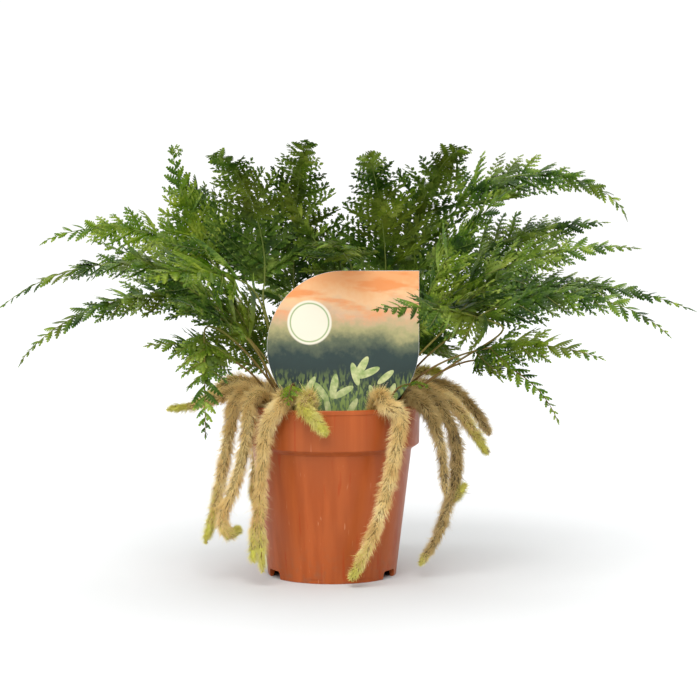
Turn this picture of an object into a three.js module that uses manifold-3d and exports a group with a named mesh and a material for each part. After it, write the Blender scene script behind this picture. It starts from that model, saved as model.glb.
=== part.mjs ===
// A hare's-foot fern in a 12 cm nursery pot: pot, soil, plant label, furry creeping rhizomes
// and fronds. Millimetres, +Z up. The origin is the middle of the pot's flat foot pad, and the
// front of the plant, where the label stands, looks along -Y.
import * as THREE from "three";
import { mergeVertices } from "three/addons/utils/BufferGeometryUtils.js";
import Module from "manifold-3d";

const wasm = await Module();
wasm.setup();

// ---- Driving dimensions -------------------------------------------------------------------

const POT_HEIGHT = 116.5;
const RIM_RADIUS = 60; // outside, at the lip
const BASE_RADIUS = 43.5; // outside, at the foot
const BAND_HEIGHT = 27; // the wide band below the lip
const BAND_STEP = 5.6; // how far the band stands out from the wall below it
const BAND_CHAMFER = 3.5; // height of the slope under the band
const LIP_HEIGHT = 3;
const LIP_PROUD = 0.5;
const WALL = 1.4;
const FLOOR_UNDERSIDE = 4;
const FLOOR_TOP = 6;
const FOOT_WIDTH = 2.3; // the ring that the wall stands on
const FOOT_DRAFT = 1; // how far the ring's inner face leans
const PAD_RADIUS = 14; // the flat pad in the middle of the foot
const PAD_FLOOR = 2;
const PAD_WALL = 1.2;
const PAD_DRAFT = 0.8;
const SOFT_EDGE = 0.4; // the small slopes at the band's edges
const POT_SIDES = 32;

const DRAIN_HOLES = { count: 6, radius: 3.5, ring: 28, sides: 8 };
const FOOT_NOTCHES = { azimuths: [-152, -28, 90], width: 15, height: 5.5, corner: 2, depth: 5.6 };
const FOOT_RECESSES = { azimuths: [-104, -61], width: 10, height: 3, corner: 1, depth: 0.2 };
const CUT_LENGTH = 10; // of the blocks that cut the foot

const SOIL_TOP = 104.5;
const SOIL_SIDES = 20;
const FIT_GAP = 0.4; // between the soil and the pot

const LABEL_RADIUS = 50; // a round card with one square corner
const LABEL_CENTRE = new THREE.Vector3(7.6, -36, 156.5);
const LABEL_THICKNESS = 0.8;
const STAKE_WIDTH = 8;
const STAKE_FOOT = 62; // how low the label's stake reaches into the soil

const ROOT_DEPTH = 99; // where stipes start, in holes in the soil
const HOLE_GAP = 0.35; // round a stipe, a rhizome or the stake in its hole

const STIPE_HALF_WIDTH = 0.9;
const STIPE_STEPS = 3;
const RACHIS_HALF_WIDTH = 0.75; // at the lowest pinnae, narrowing to the tip
const TIP_HALF_WIDTH = 0.3;
const BLADE_HALF_THICKNESS = 0.32;
const RIB_HALF_WIDTH = 0.6; // the midrib of a pinna
const PINNA_BASE = 1.1; // half of the length of rachis that a pinna grows from
const CLEARANCE = 0.25; // that each blade keeps from its neighbours, on each side

const RHIZOME_SIDES = 6;
const RHIZOME_ROOT_RING = 48.5; // where the rhizomes leave the soil
const RHIZOME_ROOT_DEPTH = 98.5;
const RHIZOME_STEP = 16; // the length of a segment, about

// ---- The plant, as hand-chosen lists --------------------------------------------------------

// One frond: its root (x, y) in the soil, its crown where the blade begins, its tip, the arch of
// the blade and its roll about its own length in degrees, its half-width and its pairs of pinnae.
function frond(name, root, crown, tip, arch, roll, width, pairs) {
  return { name, root, crown, tip, arch, roll, width, pairs };
}

const FRONDS = [
  frond("left_long", [-26, 2], [-78, 0, 196], [-223, 0, 181], 36, -24, 40, 10),
  frond("left_low", [-29, -10], [-80, -26, 184], [-203, -46, 147], 38, -38, 32, 9),
  frond("left_pale", [-22, 14], [-76, 28, 204], [-202, 44, 224], 36, -46, 46, 9),
  frond("left_crozier", [-17, 8], [-82, 14, 212], [-109, 20, 287], -12, -60, 36, 5),
  frond("left_upright", [-18, -4], [-46, -2, 194], [-78, -72, 280], 62, 24, 58, 10),
  frond("left_inner_high", [-15, 16], [-60, 36, 198], [-110, 32, 274], 16, -60, 50, 8),
  frond("left_inner_front", [-23, -5], [-52, -26, 158], [-150, -68, 226], 14, -45, 48, 8),
  frond("front_left_droop", [-24, -17], [-80, -84, 168], [-76, -132, 108], 10, 0, 27, 7),
  frond("front_left_pale", [-33, -14], [-57, -56, 200], [-112, -122, 204], 16, -30, 46, 10),
  frond("front_left_low", [-36, -6], [-60, -50, 146], [-118, -78, 160], 20, -30, 34, 7),
  frond("front_left_fan", [-28, -29], [-58, -68, 168], [-98, -138, 190], 12, -20, 40, 7),
  frond("middle_left_tall", [-10, 8], [-26, 18, 186], [-14, -68, 289], 62, -16, 58, 10),
  frond("middle_reach", [-4, 2], [8, 4, 200], [-32, -14, 266], -10, -60, 32, 6),
  frond("middle_front", [4, -14], [12, -26, 212], [-6, -92, 226], 14, 0, 40, 7),
  frond("middle_right_tall", [10, 0], [36, -2, 184], [20, -82, 280], 60, 18, 58, 10),
  frond("right_tall", [16, 8], [54, 22, 196], [90, -56, 285], 58, -22, 58, 10),
  frond("right_inner_front", [18, -10], [56, -28, 162], [122, -56, 262], 26, 45, 52, 9),
  frond("right_arch", [24, 8], [84, 16, 246], [202, 28, 242], 64, 40, 42, 9),
  frond("right_mid", [22, -6], [74, -20, 186], [201, -30, 221], 22, 44, 42, 9),
  frond("right_back", [20, 16], [84, 44, 208], [194, 66, 238], 14, 44, 46, 8),
  frond("right_long", [30, 2], [80, 4, 182], [243, 0, 179], 22, 34, 38, 10),
  frond("right_low_long", [34, 9], [96, -40, 176], [217, -60, 166], 40, 42, 36, 8),
  frond("right_flat", [33, -1], [90, -52, 154], [172, -84, 152], 18, 45, 32, 8),
  frond("right_low", [39, -9], [92, -44, 148], [144, -84, 112], 38, 35, 16, 8),
  frond("front_right_fan", [27, -15], [80, -52, 176], [112, -132, 210], 10, 20, 44, 7),
  frond("front_label", [38, -13], [106, -76, 174], [27, -137, 186], 10, -50, 40, 7),
  frond("back_left", [-22, 24], [-66, 54, 172], [-150, 112, 196], 20, 0, 46, 7),
  frond("back_left_high", [-12, 20], [-40, 58, 190], [-104, 140, 232], 16, 0, 44, 7),
  frond("back_middle_left", [-12, 29], [-28, 76, 176], [-50, 170, 180], 22, 0, 44, 7),
  frond("back_middle", [2, 18], [4, 56, 186], [10, 146, 226], 14, 0, 42, 7),
  frond("back_middle_right", [12, 29], [32, 76, 174], [58, 170, 176], 22, 0, 44, 7),
  frond("back_right_high", [12, 20], [46, 58, 190], [116, 136, 228], 16, 0, 44, 7),
  frond("back_right", [24, 23], [74, 56, 168], [164, 112, 184], 20, 0, 46, 7),
  frond("back_low_left", [-4, 33], [-14, 92, 146], [-20, 176, 126], 14, 0, 38, 6),
  frond("back_low_right", [22, 28], [54, 84, 146], [96, 160, 130], 14, 0, 38, 6),
  frond("left_base", [-20, 1], [-44, -4, 136], [-84, -30, 206], 16, 55, 42, 7),
  frond("right_base", [26, 3], [44, -8, 146], [78, -30, 214], 10, -54, 42, 7),
  frond("right_base_back", [26, 20], [56, 32, 146], [98, 50, 200], 16, 20, 42, 6),
  frond("front_left_sprout", [-19, -39], [-25, -47, 133], [-28, -72, 122], 20, 0, 11, 5),
  frond("front_right_sprout", [33, -39], [45, -46, 131], [64, -60, 131], 24, 0, 11, 5),
];

// Each rhizome: name, azimuth where it crosses the rim, radius, the points that it passes
// beyond the rim, and those of a side branch if it has one.
const RHIZOMES = [
  {
    name: "front_right",
    azimuth: -57,
    radius: 6,
    points: [
      [44.5, -54, 112], [42, -58, 92], [36.5, -58, 66],
      [29, -58, 40], [20.5, -57, 20], [13, -56, 6],
    ],
  },
  {
    name: "front_left_short",
    azimuth: 255,
    radius: 6,
    points: [[-11, -67, 112], [-3, -69, 102]],
  },
  {
    name: "front_left_long",
    azimuth: 240,
    radius: 6,
    points: [[-42, -55, 104], [-45, -56, 78], [-46.5, -55, 45], [-45, -53, 11]],
    branch: [[-46, -55, 60], [-50, -55, 38], [-51, -53, 17]],
  },
  {
    name: "left_hooked",
    azimuth: 217,
    radius: 6,
    points: [[-54.5, -45, 103], [-62, -48, 70], [-71, -48, 46], [-68, -48, 35], [-60, -47, 37]],
  },
  {
    name: "left_long",
    azimuth: 200,
    radius: 6,
    points: [[-67, -24, 104], [-72, -28, 76], [-77, -30, 50], [-84, -30, 26]],
  },
  {
    name: "left_level",
    azimuth: 178,
    radius: 5.5,
    points: [[-75, -3, 121], [-90, -7, 116], [-110, -10, 112.5]],
  },
  {
    name: "left_upper",
    azimuth: 152,
    radius: 6,
    points: [[-68, 26, 129], [-80, 24, 122], [-86, 24, 114]],
  },
  {
    name: "right_short",
    azimuth: -30,
    radius: 6,
    points: [[66, -38, 110], [72.5, -39, 88], [75.5, -38, 58]],
  },
  {
    name: "right_long",
    azimuth: -8,
    radius: 6,
    points: [
      [74, -12, 112], [83, -15, 92], [82.6, -18, 65],
      [77, -20, 47], [70.4, -22, 28], [59, -24, 10],
    ],
    branch: [[79, -19, 52], [85, -20, 57], [89, -20, 63]],
  },
  {
    name: "right_arched",
    azimuth: 12,
    radius: 6,
    points: [[73, 6, 120], [85, 1, 112], [95, -4, 98], [104.7, -7, 82]],
  },
  {
    name: "right_outer",
    azimuth: 28,
    radius: 6,
    points: [[70, 28, 126], [86, 26, 121], [99, 21, 107], [108, 18, 93]],
  },
  {
    name: "right_upper",
    azimuth: 44,
    radius: 5.5,
    points: [[60, 42, 134], [76, 38, 134]],
  },
  {
    name: "back_right",
    azimuth: 69,
    radius: 6,
    points: [[27, 66, 110], [28, 70, 84], [25, 72, 56]],
  },
  {
    name: "back_middle",
    azimuth: 88,
    radius: 6,
    points: [[8, 70, 108], [6, 71, 74], [10, 72, 40], [14, 70, 20]],
  },
  {
    name: "back_left",
    azimuth: 108,
    radius: 6,
    points: [[-23, 67, 110], [-27, 68, 88], [-26, 70, 66]],
  },
  {
    name: "back_left_long",
    azimuth: 130,
    radius: 6,
    points: [[-47, 55, 108], [-53, 58, 80], [-56, 60, 48], [-52, 62, 34]],
  },
];

// ---- Materials ------------------------------------------------------------------------------

const terracotta = new THREE.MeshStandardMaterial({ color: 0xb65c35, roughness: 0.45 });
const peat = new THREE.MeshStandardMaterial({ color: 0x33241a, roughness: 1 });
const card = new THREE.MeshStandardMaterial({ color: 0xd9c9a8, roughness: 0.6 });
const fur = new THREE.MeshStandardMaterial({ color: 0xbfa46f, roughness: 1 });
const leaf = new THREE.MeshStandardMaterial({ color: 0x3f6b2c, roughness: 0.6 });
const youngLeaf = new THREE.MeshStandardMaterial({ color: 0x7d9a3c, roughness: 0.6 });

// ---- Solids ---------------------------------------------------------------------------------

// Shares vertices and drops the flat triangles that a lathe leaves on its axis.
function closedGeometry(geometry) {
  geometry.deleteAttribute("normal");
  geometry.deleteAttribute("uv");
  const merged = mergeVertices(geometry, 1e-4);
  const corners = Array.from(merged.index.array);
  const kept = [];
  for (let i = 0; i < corners.length; i += 3) {
    const [a, b, c] = corners.slice(i, i + 3);
    if (a !== b && b !== c && c !== a) kept.push(a, b, c);
  }
  merged.setIndex(kept);
  return merged;
}

function toManifold(geometry) {
  const vertProperties = new Float32Array(geometry.attributes.position.array);
  const triVerts = new Uint32Array(geometry.index.array);
  return new wasm.Manifold(new wasm.Mesh({ numProp: 3, vertProperties, triVerts }));
}

function toGeometry(solid) {
  const mesh = solid.getMesh();
  const geometry = new THREE.BufferGeometry();
  geometry.setAttribute("position", new THREE.BufferAttribute(mesh.vertProperties, 3));
  geometry.setIndex(new THREE.BufferAttribute(mesh.triVerts, 1));
  return geometry;
}

// A closed body turned about the Z axis from (radius, height) points that start and end on it.
function turned(profile, sides) {
  const points = profile.map(([radius, height]) => new THREE.Vector2(radius, height));
  const lathe = new THREE.LatheGeometry(points, sides);
  lathe.rotateX(Math.PI / 2);
  return toManifold(closedGeometry(lathe));
}

function radians(degrees) {
  return THREE.MathUtils.degToRad(degrees);
}

// ---- Pot ------------------------------------------------------------------------------------

const BAND_BOTTOM = POT_HEIGHT - BAND_HEIGHT;
const BAND_RADIUS = RIM_RADIUS - LIP_PROUD;
const SHOULDER_RADIUS = BAND_RADIUS - BAND_STEP; // top of the tapered wall
const INNER_FLOOR_RADIUS = BASE_RADIUS - WALL + 0.6;
const INNER_BAND_RADIUS = RIM_RADIUS - WALL - 0.6;
const INNER_STEP = { bottom: BAND_BOTTOM - BAND_CHAMFER + 1.3, top: BAND_BOTTOM + 1.5 };

function potProfile() {
  const outside = [
    [0, 0],
    [PAD_RADIUS, 0],
    [PAD_RADIUS + PAD_DRAFT, FLOOR_UNDERSIDE],
    [BASE_RADIUS - FOOT_WIDTH - FOOT_DRAFT, FLOOR_UNDERSIDE],
    [BASE_RADIUS - FOOT_WIDTH, 0],
    [BASE_RADIUS, 0],
    [SHOULDER_RADIUS, BAND_BOTTOM - BAND_CHAMFER],
    [BAND_RADIUS - SOFT_EDGE, BAND_BOTTOM],
    [BAND_RADIUS, POT_HEIGHT - LIP_HEIGHT - SOFT_EDGE],
    [RIM_RADIUS, POT_HEIGHT - LIP_HEIGHT],
    [RIM_RADIUS, POT_HEIGHT],
  ];
  const inside = [
    [RIM_RADIUS - WALL, POT_HEIGHT],
    [INNER_BAND_RADIUS, INNER_STEP.top],
    [SHOULDER_RADIUS - WALL, INNER_STEP.bottom],
    [INNER_FLOOR_RADIUS, FLOOR_TOP],
    [PAD_RADIUS - PAD_WALL, FLOOR_TOP],
    [PAD_RADIUS - PAD_WALL - PAD_DRAFT, PAD_FLOOR],
    [0, PAD_FLOOR],
  ];
  return [...outside, ...inside];
}

// A block with rounded upper corners that reaches to a depth inside the foot's radius.
function footCut({ width, height, corner, depth }, azimuth) {
  const outline = new THREE.Shape();
  outline.moveTo(-width / 2, -1);
  outline.lineTo(width / 2, -1);
  outline.absarc(width / 2 - corner, height - corner, corner, 0, Math.PI / 2);
  outline.absarc(-width / 2 + corner, height - corner, corner, Math.PI / 2, Math.PI);
  const block = new THREE.ExtrudeGeometry(outline, {
    depth: CUT_LENGTH,
    bevelEnabled: false,
    curveSegments: 2,
  });
  block.rotateX(Math.PI / 2);
  block.translate(0, BASE_RADIUS - depth + CUT_LENGTH, 0);
  block.rotateZ(radians(azimuth - 90));
  return toManifold(closedGeometry(block));
}

function drainHole(index) {
  const { count, radius, ring, sides } = DRAIN_HOLES;
  const drill = new THREE.CylinderGeometry(radius, radius, FLOOR_TOP + 4, sides);
  drill.rotateX(Math.PI / 2);
  drill.translate(ring, 0, FLOOR_TOP / 2);
  drill.rotateZ((2 * Math.PI * (index + 0.5)) / count);
  return toManifold(closedGeometry(drill));
}

function potSolid() {
  let pot = turned(potProfile(), POT_SIDES);
  for (let i = 0; i < DRAIN_HOLES.count; i += 1) {
    pot = pot.subtract(drainHole(i));
  }
  for (const cuts of [FOOT_NOTCHES, FOOT_RECESSES]) {
    for (const azimuth of cuts.azimuths) {
      pot = pot.subtract(footCut(cuts, azimuth));
    }
  }
  return pot;
}

// ---- Label ----------------------------------------------------------------------------------

// The card's outline grown by a margin: three round quarters, a square corner and the stake.
function labelSolid(margin) {
  const radius = LABEL_RADIUS + margin;
  const half = STAKE_WIDTH / 2 + margin;
  const foot = STAKE_FOOT - LABEL_CENTRE.z - margin;
  const turn = Math.acos(half / radius);
  const outline = new THREE.Shape();
  outline.moveTo(-half, foot);
  outline.lineTo(half, foot);
  outline.absarc(0, 0, radius, -turn, 0);
  outline.lineTo(radius, radius);
  outline.lineTo(0, radius);
  outline.absarc(0, 0, radius, Math.PI / 2, Math.PI + turn);
  const depth = LABEL_THICKNESS + 2 * margin;
  const plate = new THREE.ExtrudeGeometry(outline, {
    depth,
    bevelEnabled: false,
    curveSegments: 12,
  });
  plate.rotateX(Math.PI / 2);
  plate.translate(LABEL_CENTRE.x, LABEL_CENTRE.y + depth / 2, LABEL_CENTRE.z);
  return toManifold(closedGeometry(plate));
}

// ---- Rhizomes -------------------------------------------------------------------------------

const UP = new THREE.Vector3(0, 0, 1);

function onRing(azimuth, radius, height) {
  const angle = radians(azimuth);
  return new THREE.Vector3(radius * Math.cos(angle), radius * Math.sin(angle), height);
}

// From the soil, up the inside of the rim, over it and then through its own points.
function rhizomePath({ azimuth, points }) {
  const start = [
    onRing(azimuth, RHIZOME_ROOT_RING, RHIZOME_ROOT_DEPTH),
    onRing(azimuth, RHIZOME_ROOT_RING + 2, POT_HEIGHT - 2),
    onRing(azimuth, RIM_RADIUS - 2, POT_HEIGHT + 8),
  ];
  if (points[0][2] < POT_HEIGHT) start.push(onRing(azimuth, RIM_RADIUS + 7.5, POT_HEIGHT + 3));
  const rest = points.map((point) => new THREE.Vector3(...point));
  return new THREE.CatmullRomCurve3([...start, ...rest], false, "catmullrom", 0.5);
}

// Thin in the soil, full at the rim, and tapering from a third of the way to the bare tip.
function rhizomeRadius(full, t) {
  const swell = 0.66 + 0.34 * Math.min(t / 0.2, 1);
  const taper = 1 - 0.55 * Math.max(0, (t - 0.35) / 0.65) ** 1.3;
  return full * swell * taper;
}

// A closed tube of rings that ends in a point, its fur making the rings uneven.
function furryTube(curve, steps, radiusAt, margin = 0) {
  const frames = curve.computeFrenetFrames(steps);
  const positions = [];
  const triangles = [];
  for (let i = 0; i < steps; i += 1) {
    const centre = curve.getPoint(i / steps);
    const tangent = curve.getTangent(i / steps);
    const across = new THREE.Vector3().crossVectors(tangent, frames.normals[i]).normalize();
    const upward = new THREE.Vector3().crossVectors(across, tangent);
    for (let j = 0; j < RHIZOME_SIDES; j += 1) {
      const angle = (2 * Math.PI * (j + (i % 2) / 2)) / RHIZOME_SIDES;
      const tuft = 1 - 0.08 * (1 + Math.sin(2.4 * i + 1.9 * j));
      const radius = radiusAt(i / steps) * tuft + margin;
      const vertex = centre.clone();
      vertex.addScaledVector(upward, radius * Math.cos(angle));
      vertex.addScaledVector(across, radius * Math.sin(angle));
      positions.push(...vertex);
    }
  }
  positions.push(...curve.getPoint(1));
  const at = (i, j) => i * RHIZOME_SIDES + (j % RHIZOME_SIDES);
  for (let i = 0; i + 1 < steps; i += 1) {
    const lean = i % 2;
    for (let j = 0; j < RHIZOME_SIDES; j += 1) {
      const [a, b, c, d] = [at(i, j), at(i, j + 1), at(i + 1, j), at(i + 1, j + 1)];
      if (lean) triangles.push(a, b, d, a, d, c);
      else triangles.push(a, b, c, b, d, c);
    }
  }
  for (let j = 1; j + 1 < RHIZOME_SIDES; j += 1) triangles.push(0, j + 1, j);
  for (let j = 0; j < RHIZOME_SIDES; j += 1) {
    triangles.push(at(steps - 1, j), at(steps - 1, j + 1), steps * RHIZOME_SIDES);
  }
  const geometry = new THREE.BufferGeometry();
  geometry.setAttribute("position", new THREE.Float32BufferAttribute(positions, 3));
  geometry.setIndex(triangles);
  return toManifold(geometry);
}

function rhizomeSolid(spec, margin = 0) {
  const path = rhizomePath(spec);
  const steps = Math.round(path.getLength() / RHIZOME_STEP) + 2;
  const main = furryTube(path, steps, (t) => rhizomeRadius(spec.radius, t), margin);
  if (!spec.branch) return main;
  const points = spec.branch.map((point) => new THREE.Vector3(...point));
  const side = new THREE.CatmullRomCurve3(points, false, "catmullrom", 0.5);
  return main.add(furryTube(side, 4, (t) => spec.radius * (0.6 - 0.2 * t), margin));
}

// ---- Fronds ---------------------------------------------------------------------------------

// A thin solid: triangles between points that each have a normal and a half-thickness, laid
// alike on the upper and the lower face and joined by walls along the open edges.
class Sheet {
  constructor() {
    this.upper = [];
    this.lower = [];
    this.triangles = [];
  }

  vertex(point, normal, halfThickness) {
    this.upper.push(point.clone().addScaledVector(normal, halfThickness));
    this.lower.push(point.clone().addScaledVector(normal, -halfThickness));
    return this.upper.length - 1;
  }

  geometry() {
    const count = this.upper.length;
    const index = [];
    const edges = new Set(this.triangles.flatMap(([a, b, c]) => [`${a} ${b}`, `${b} ${c}`, `${c} ${a}`]));
    for (const [a, b, c] of this.triangles) {
      index.push(a, b, c, a + count, c + count, b + count);
      for (const [from, to] of [[a, b], [b, c], [c, a]]) {
        if (edges.has(`${to} ${from}`)) continue;
        index.push(to, from, from + count, to, from + count, to + count);
      }
    }
    const positions = [...this.upper, ...this.lower].flatMap((point) => [...point]);
    const geometry = new THREE.BufferGeometry();
    geometry.setAttribute("position", new THREE.Float32BufferAttribute(positions, 3));
    geometry.setIndex(index);
    return geometry;
  }
}

// The stipe's curve, the blade's curve and the direction across the blade.
function frondCurves({ root, crown, tip, arch }) {
  const start = new THREE.Vector3(root[0], root[1], ROOT_DEPTH);
  const neck = new THREE.Vector3(...crown);
  const end = new THREE.Vector3(...tip);
  const chord = end.clone().sub(neck);
  const across = new THREE.Vector3(chord.x, chord.y, 0).cross(UP).normalize();
  const rise = radians(arch);
  const leave = chord.clone().applyAxisAngle(across, rise);
  const arrive = chord.clone().applyAxisAngle(across, -rise);
  const reach = neck.clone().sub(start);
  const steep = reach.clone().normalize().add(UP).multiplyScalar(0.225 * reach.length());
  const stipe = new THREE.CubicBezierCurve3(
    start,
    start.clone().add(steep),
    neck.clone().addScaledVector(leave, -reach.length() / chord.length() / 4),
    neck,
  );
  const blade = new THREE.CubicBezierCurve3(
    neck,
    neck.clone().addScaledVector(leave, 1 / 3),
    end.clone().addScaledVector(arrive, -1 / 3),
    end,
  );
  return { stipe, blade, across };
}

// Point, tangent, side and normal at a place on the frond: t below 0 is on the stipe.
function frondFrame({ stipe, blade, across }, roll, t) {
  const curve = t < 0 ? stipe : blade;
  const place = t < 0 ? t + 1 : t;
  const point = curve.getPoint(place);
  const tangent = curve.getTangent(place);
  const side = across.clone().addScaledVector(tangent, -across.dot(tangent)).normalize();
  side.applyAxisAngle(tangent, radians(roll));
  const normal = new THREE.Vector3().crossVectors(side, tangent);
  return { point, tangent, side, normal };
}

// Pinnae are widely spaced at the base of the blade and crowd towards its tip.
function along(fraction) {
  return fraction + 0.3 * fraction * (1 - fraction);
}

// Where pinna k of one side grows, with the two sides alternating.
function pinnaPlace(k, pairs, hand) {
  return along((k + (hand > 0 ? 0.3 : 0.75)) / (pairs + 0.35));
}

// The length of rachis between one pinna and the next of its side.
function pinnaRoom(k, { pairs, length }) {
  return (along((k + 1.5) / pairs) - along((k + 0.5) / pairs)) * length;
}

// How many leaflets a pinna has on each side of its rib: the lower ones are compound.
function leafletCount(k, pairs) {
  if (k < Math.round(pairs * 0.16)) return 2;
  return k < Math.round(pairs * 0.42) ? 1 : 0;
}

// The outline of one pinna as points in its own plane, with the base on the rachis as points
// 0 and 1. Lift turns it out of the blade's plane, and stretch shortens it.
function pinnaShape(frame, hand, t, length, room, leaflets, [lift, stretch]) {
  const ascent = radians(32 + 16 * t);
  const outward = frame.side.clone().multiplyScalar(hand * Math.cos(radians(lift)));
  outward.addScaledVector(frame.normal, Math.sin(radians(lift)));
  const out = outward.clone().multiplyScalar(Math.cos(ascent));
  out.addScaledVector(frame.tangent, Math.sin(ascent));
  const forward = frame.tangent.clone().multiplyScalar(Math.cos(ascent));
  forward.addScaledVector(outward, -Math.sin(ascent));
  const normal = new THREE.Vector3().crossVectors(out, forward).multiplyScalar(hand);
  const reach = length * stretch;
  const spot = (v, q) =>
    frame.point
      .clone()
      .addScaledVector(out, reach * v)
      .addScaledVector(forward, q + 0.08 * reach * v * v)
      .addScaledVector(normal, -0.1 * reach * v * v);
  const spread = Math.min(0.4 * reach, 0.46 * room);
  const points = [];
  const triangles = [];
  let [low, high] = [0, 1];
  const add = (v, q) => points.push(spot(v, q)) + 1;
  for (let j = 0; j < leaflets; j += 1) {
    const next = (j + 1) / (leaflets + 1);
    const size = spread * (1 - 0.3 * j);
    const rib = j + 1 < leaflets ? RIB_HALF_WIDTH : Math.max(RIB_HALF_WIDTH, 0.5 * size);
    const [low2, high2] = [add(next, -rib), add(next, rib)];
    const under = add(next + 0.02, -size);
    const over = add(next - 0.04, size);
    triangles.push([low, low2, high2], [low, high2, high]);
    triangles.push([low, under, low2], [high2, over, high]);
    [low, high] = [low2, high2];
  }
  triangles.push([low, add(1, 0), high]);
  if (hand < 0) triangles.forEach((corners) => corners.reverse());
  return { points, normal, triangles };
}

// Adds a pinna to a sheet that already holds the two base vertices.
function addPinna(sheet, base, { points, normal, triangles }, halfThickness) {
  const index = [...base, ...points.map((point) => sheet.vertex(point, normal, halfThickness))];
  for (const corners of triangles) {
    sheet.triangles.push(corners.map((corner) => index[corner]));
  }
}

// One edge of the rachis from root to tip: its places, and which pinna grows after each.
function rachisEdge({ pairs, length }, hand) {
  const edge = [];
  for (let i = 0; i < STIPE_STEPS; i += 1) edge.push({ t: i / STIPE_STEPS - 1 });
  for (let k = 0; k < pairs; k += 1) {
    const t = pinnaPlace(k, pairs, hand);
    if (leafletCount(k, pairs) > 0) {
      edge.push({ t: t - PINNA_BASE / length, pinna: k }, { t: t + PINNA_BASE / length });
    } else {
      edge.push({ t: t - 0.42 / pairs, pinna: k });
    }
  }
  edge.push({ t: 0.985 });
  return edge;
}

function rachisHalfWidth(t) {
  if (t < 0) return STIPE_HALF_WIDTH;
  return RACHIS_HALF_WIDTH + (TIP_HALF_WIDTH - RACHIS_HALF_WIDTH) * t;
}

function rachisHalfThickness(t) {
  return t < 0 ? STIPE_HALF_WIDTH : BLADE_HALF_THICKNESS + 0.35 * (1 - t) ** 2;
}

// The stipe and rachis as a strip between two edges whose places alternate.
function rachisStrip(frond, margin = 0, last = 1) {
  const sheet = new Sheet();
  const put = (t, hand) => {
    const frame = frondFrame(frond.curves, frond.roll, t);
    const point = frame.point.addScaledVector(frame.side, hand * (rachisHalfWidth(t) + margin));
    return sheet.vertex(point, frame.normal, rachisHalfThickness(t) + margin);
  };
  const edges = [1, -1].map((hand) =>
    frond.edges[hand].filter(({ t }) => t < last).map((step) => ({ ...step, at: put(step.t, hand) })),
  );
  const [right, left] = edges;
  let [i, j] = [0, 0];
  while (i + 1 < right.length || j + 1 < left.length) {
    const takeRight = j + 1 >= left.length || (i + 1 < right.length && right[i + 1].t <= left[j + 1].t);
    if (takeRight) {
      sheet.triangles.push([left[j].at, right[i].at, right[i + 1].at]);
      i += 1;
    } else {
      sheet.triangles.push([left[j].at, right[i].at, left[j + 1].at]);
      j += 1;
    }
  }
  return { sheet, edges: { 1: right, "-1": left } };
}

function prepareFrond(spec) {
  const curves = frondCurves(spec);
  const frond = { ...spec, curves, length: curves.blade.getLength() };
  frond.edges = { 1: rachisEdge(frond, 1), "-1": rachisEdge(frond, -1) };
  return frond;
}

// The tries that a pinna makes, in order, to grow clear of its neighbours.
const BENDS = [
  [0, 1], [15, 1], [-15, 1], [30, 1], [-30, 1],
  [0, 0.72], [20, 0.72], [-20, 0.72], [42, 0.72], [-42, 0.72],
  [0, 0.5], [25, 0.5], [-25, 0.5], [0, 0.32], [30, 0.32], [-30, 0.32],
];

// The solids that a new blade has to stay clear of.
class Neighbours {
  constructor() {
    this.list = [];
  }

  add(solid, owner) {
    const { min, max } = solid.boundingBox();
    this.list.push({ solid, owner, min, max });
  }

  blocks(solid, owner) {
    const { min, max } = solid.boundingBox();
    return this.list.some((other) => {
      if (other.owner === owner) return false;
      const apart = [0, 1, 2].some((axis) => other.min[axis] > max[axis] || other.max[axis] < min[axis]);
      if (apart) return false;
      const shared = other.solid.intersect(solid);
      const crossing = !shared.isEmpty();
      shared.delete();
      return crossing;
    });
  }
}

// A pinna by itself, thickened by the clearance, to be tried against the neighbours.
function loosePinna(frame, hand, base, shape) {
  const sheet = new Sheet();
  const thickness = BLADE_HALF_THICKNESS + CLEARANCE;
  const ends = base.map((point) => sheet.vertex(point, frame.normal, thickness));
  addPinna(sheet, ends, shape, thickness);
  return toManifold(sheet.geometry());
}

function frondGeometry(frond, neighbours) {
  const { sheet, edges } = rachisStrip(frond);
  const middle = (index) => sheet.upper[index].clone().add(sheet.lower[index]).multiplyScalar(0.5);
  for (const hand of [1, -1]) {
    edges[hand].forEach(({ pinna, at }, i) => {
      if (pinna === undefined) return;
      const base = [at, edges[hand][i + 1].at];
      const t = pinnaPlace(pinna, frond.pairs, hand);
      const frame = frondFrame(frond.curves, frond.roll, t);
      const length = 1.5 + frond.width * (1 - t) ** 1.1;
      const room = pinnaRoom(pinna, frond);
      const leaflets = leafletCount(pinna, frond.pairs);
      for (const bend of BENDS) {
        const shape = pinnaShape(frame, hand, t, length, room, leaflets, bend);
        const trial = loosePinna(frame, hand, base.map(middle), shape);
        if (neighbours.blocks(trial, frond.name)) {
          trial.delete();
          continue;
        }
        neighbours.add(trial, frond.name);
        addPinna(sheet, base, shape, BLADE_HALF_THICKNESS);
        break;
      }
    });
  }
  return sheet.geometry();
}

// ---- Soil -----------------------------------------------------------------------------------

function soilSolid(holes) {
  const body = turned(
    [
      [0, FLOOR_TOP + FIT_GAP],
      [INNER_FLOOR_RADIUS - FIT_GAP, FLOOR_TOP + FIT_GAP],
      [SHOULDER_RADIUS - WALL - FIT_GAP, INNER_STEP.bottom],
      [INNER_BAND_RADIUS - FIT_GAP, INNER_STEP.top + FIT_GAP],
      [INNER_BAND_RADIUS - FIT_GAP, SOIL_TOP],
      [0, SOIL_TOP],
    ],
    SOIL_SIDES,
  );
  return holes.reduce((soil, hole) => soil.subtract(hole), body);
}

// ---- Assembly -------------------------------------------------------------------------------

const plant = new THREE.Group();

function addPart(name, geometry, material) {
  const mesh = new THREE.Mesh(geometry, material);
  mesh.name = name;
  plant.add(mesh);
}

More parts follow.
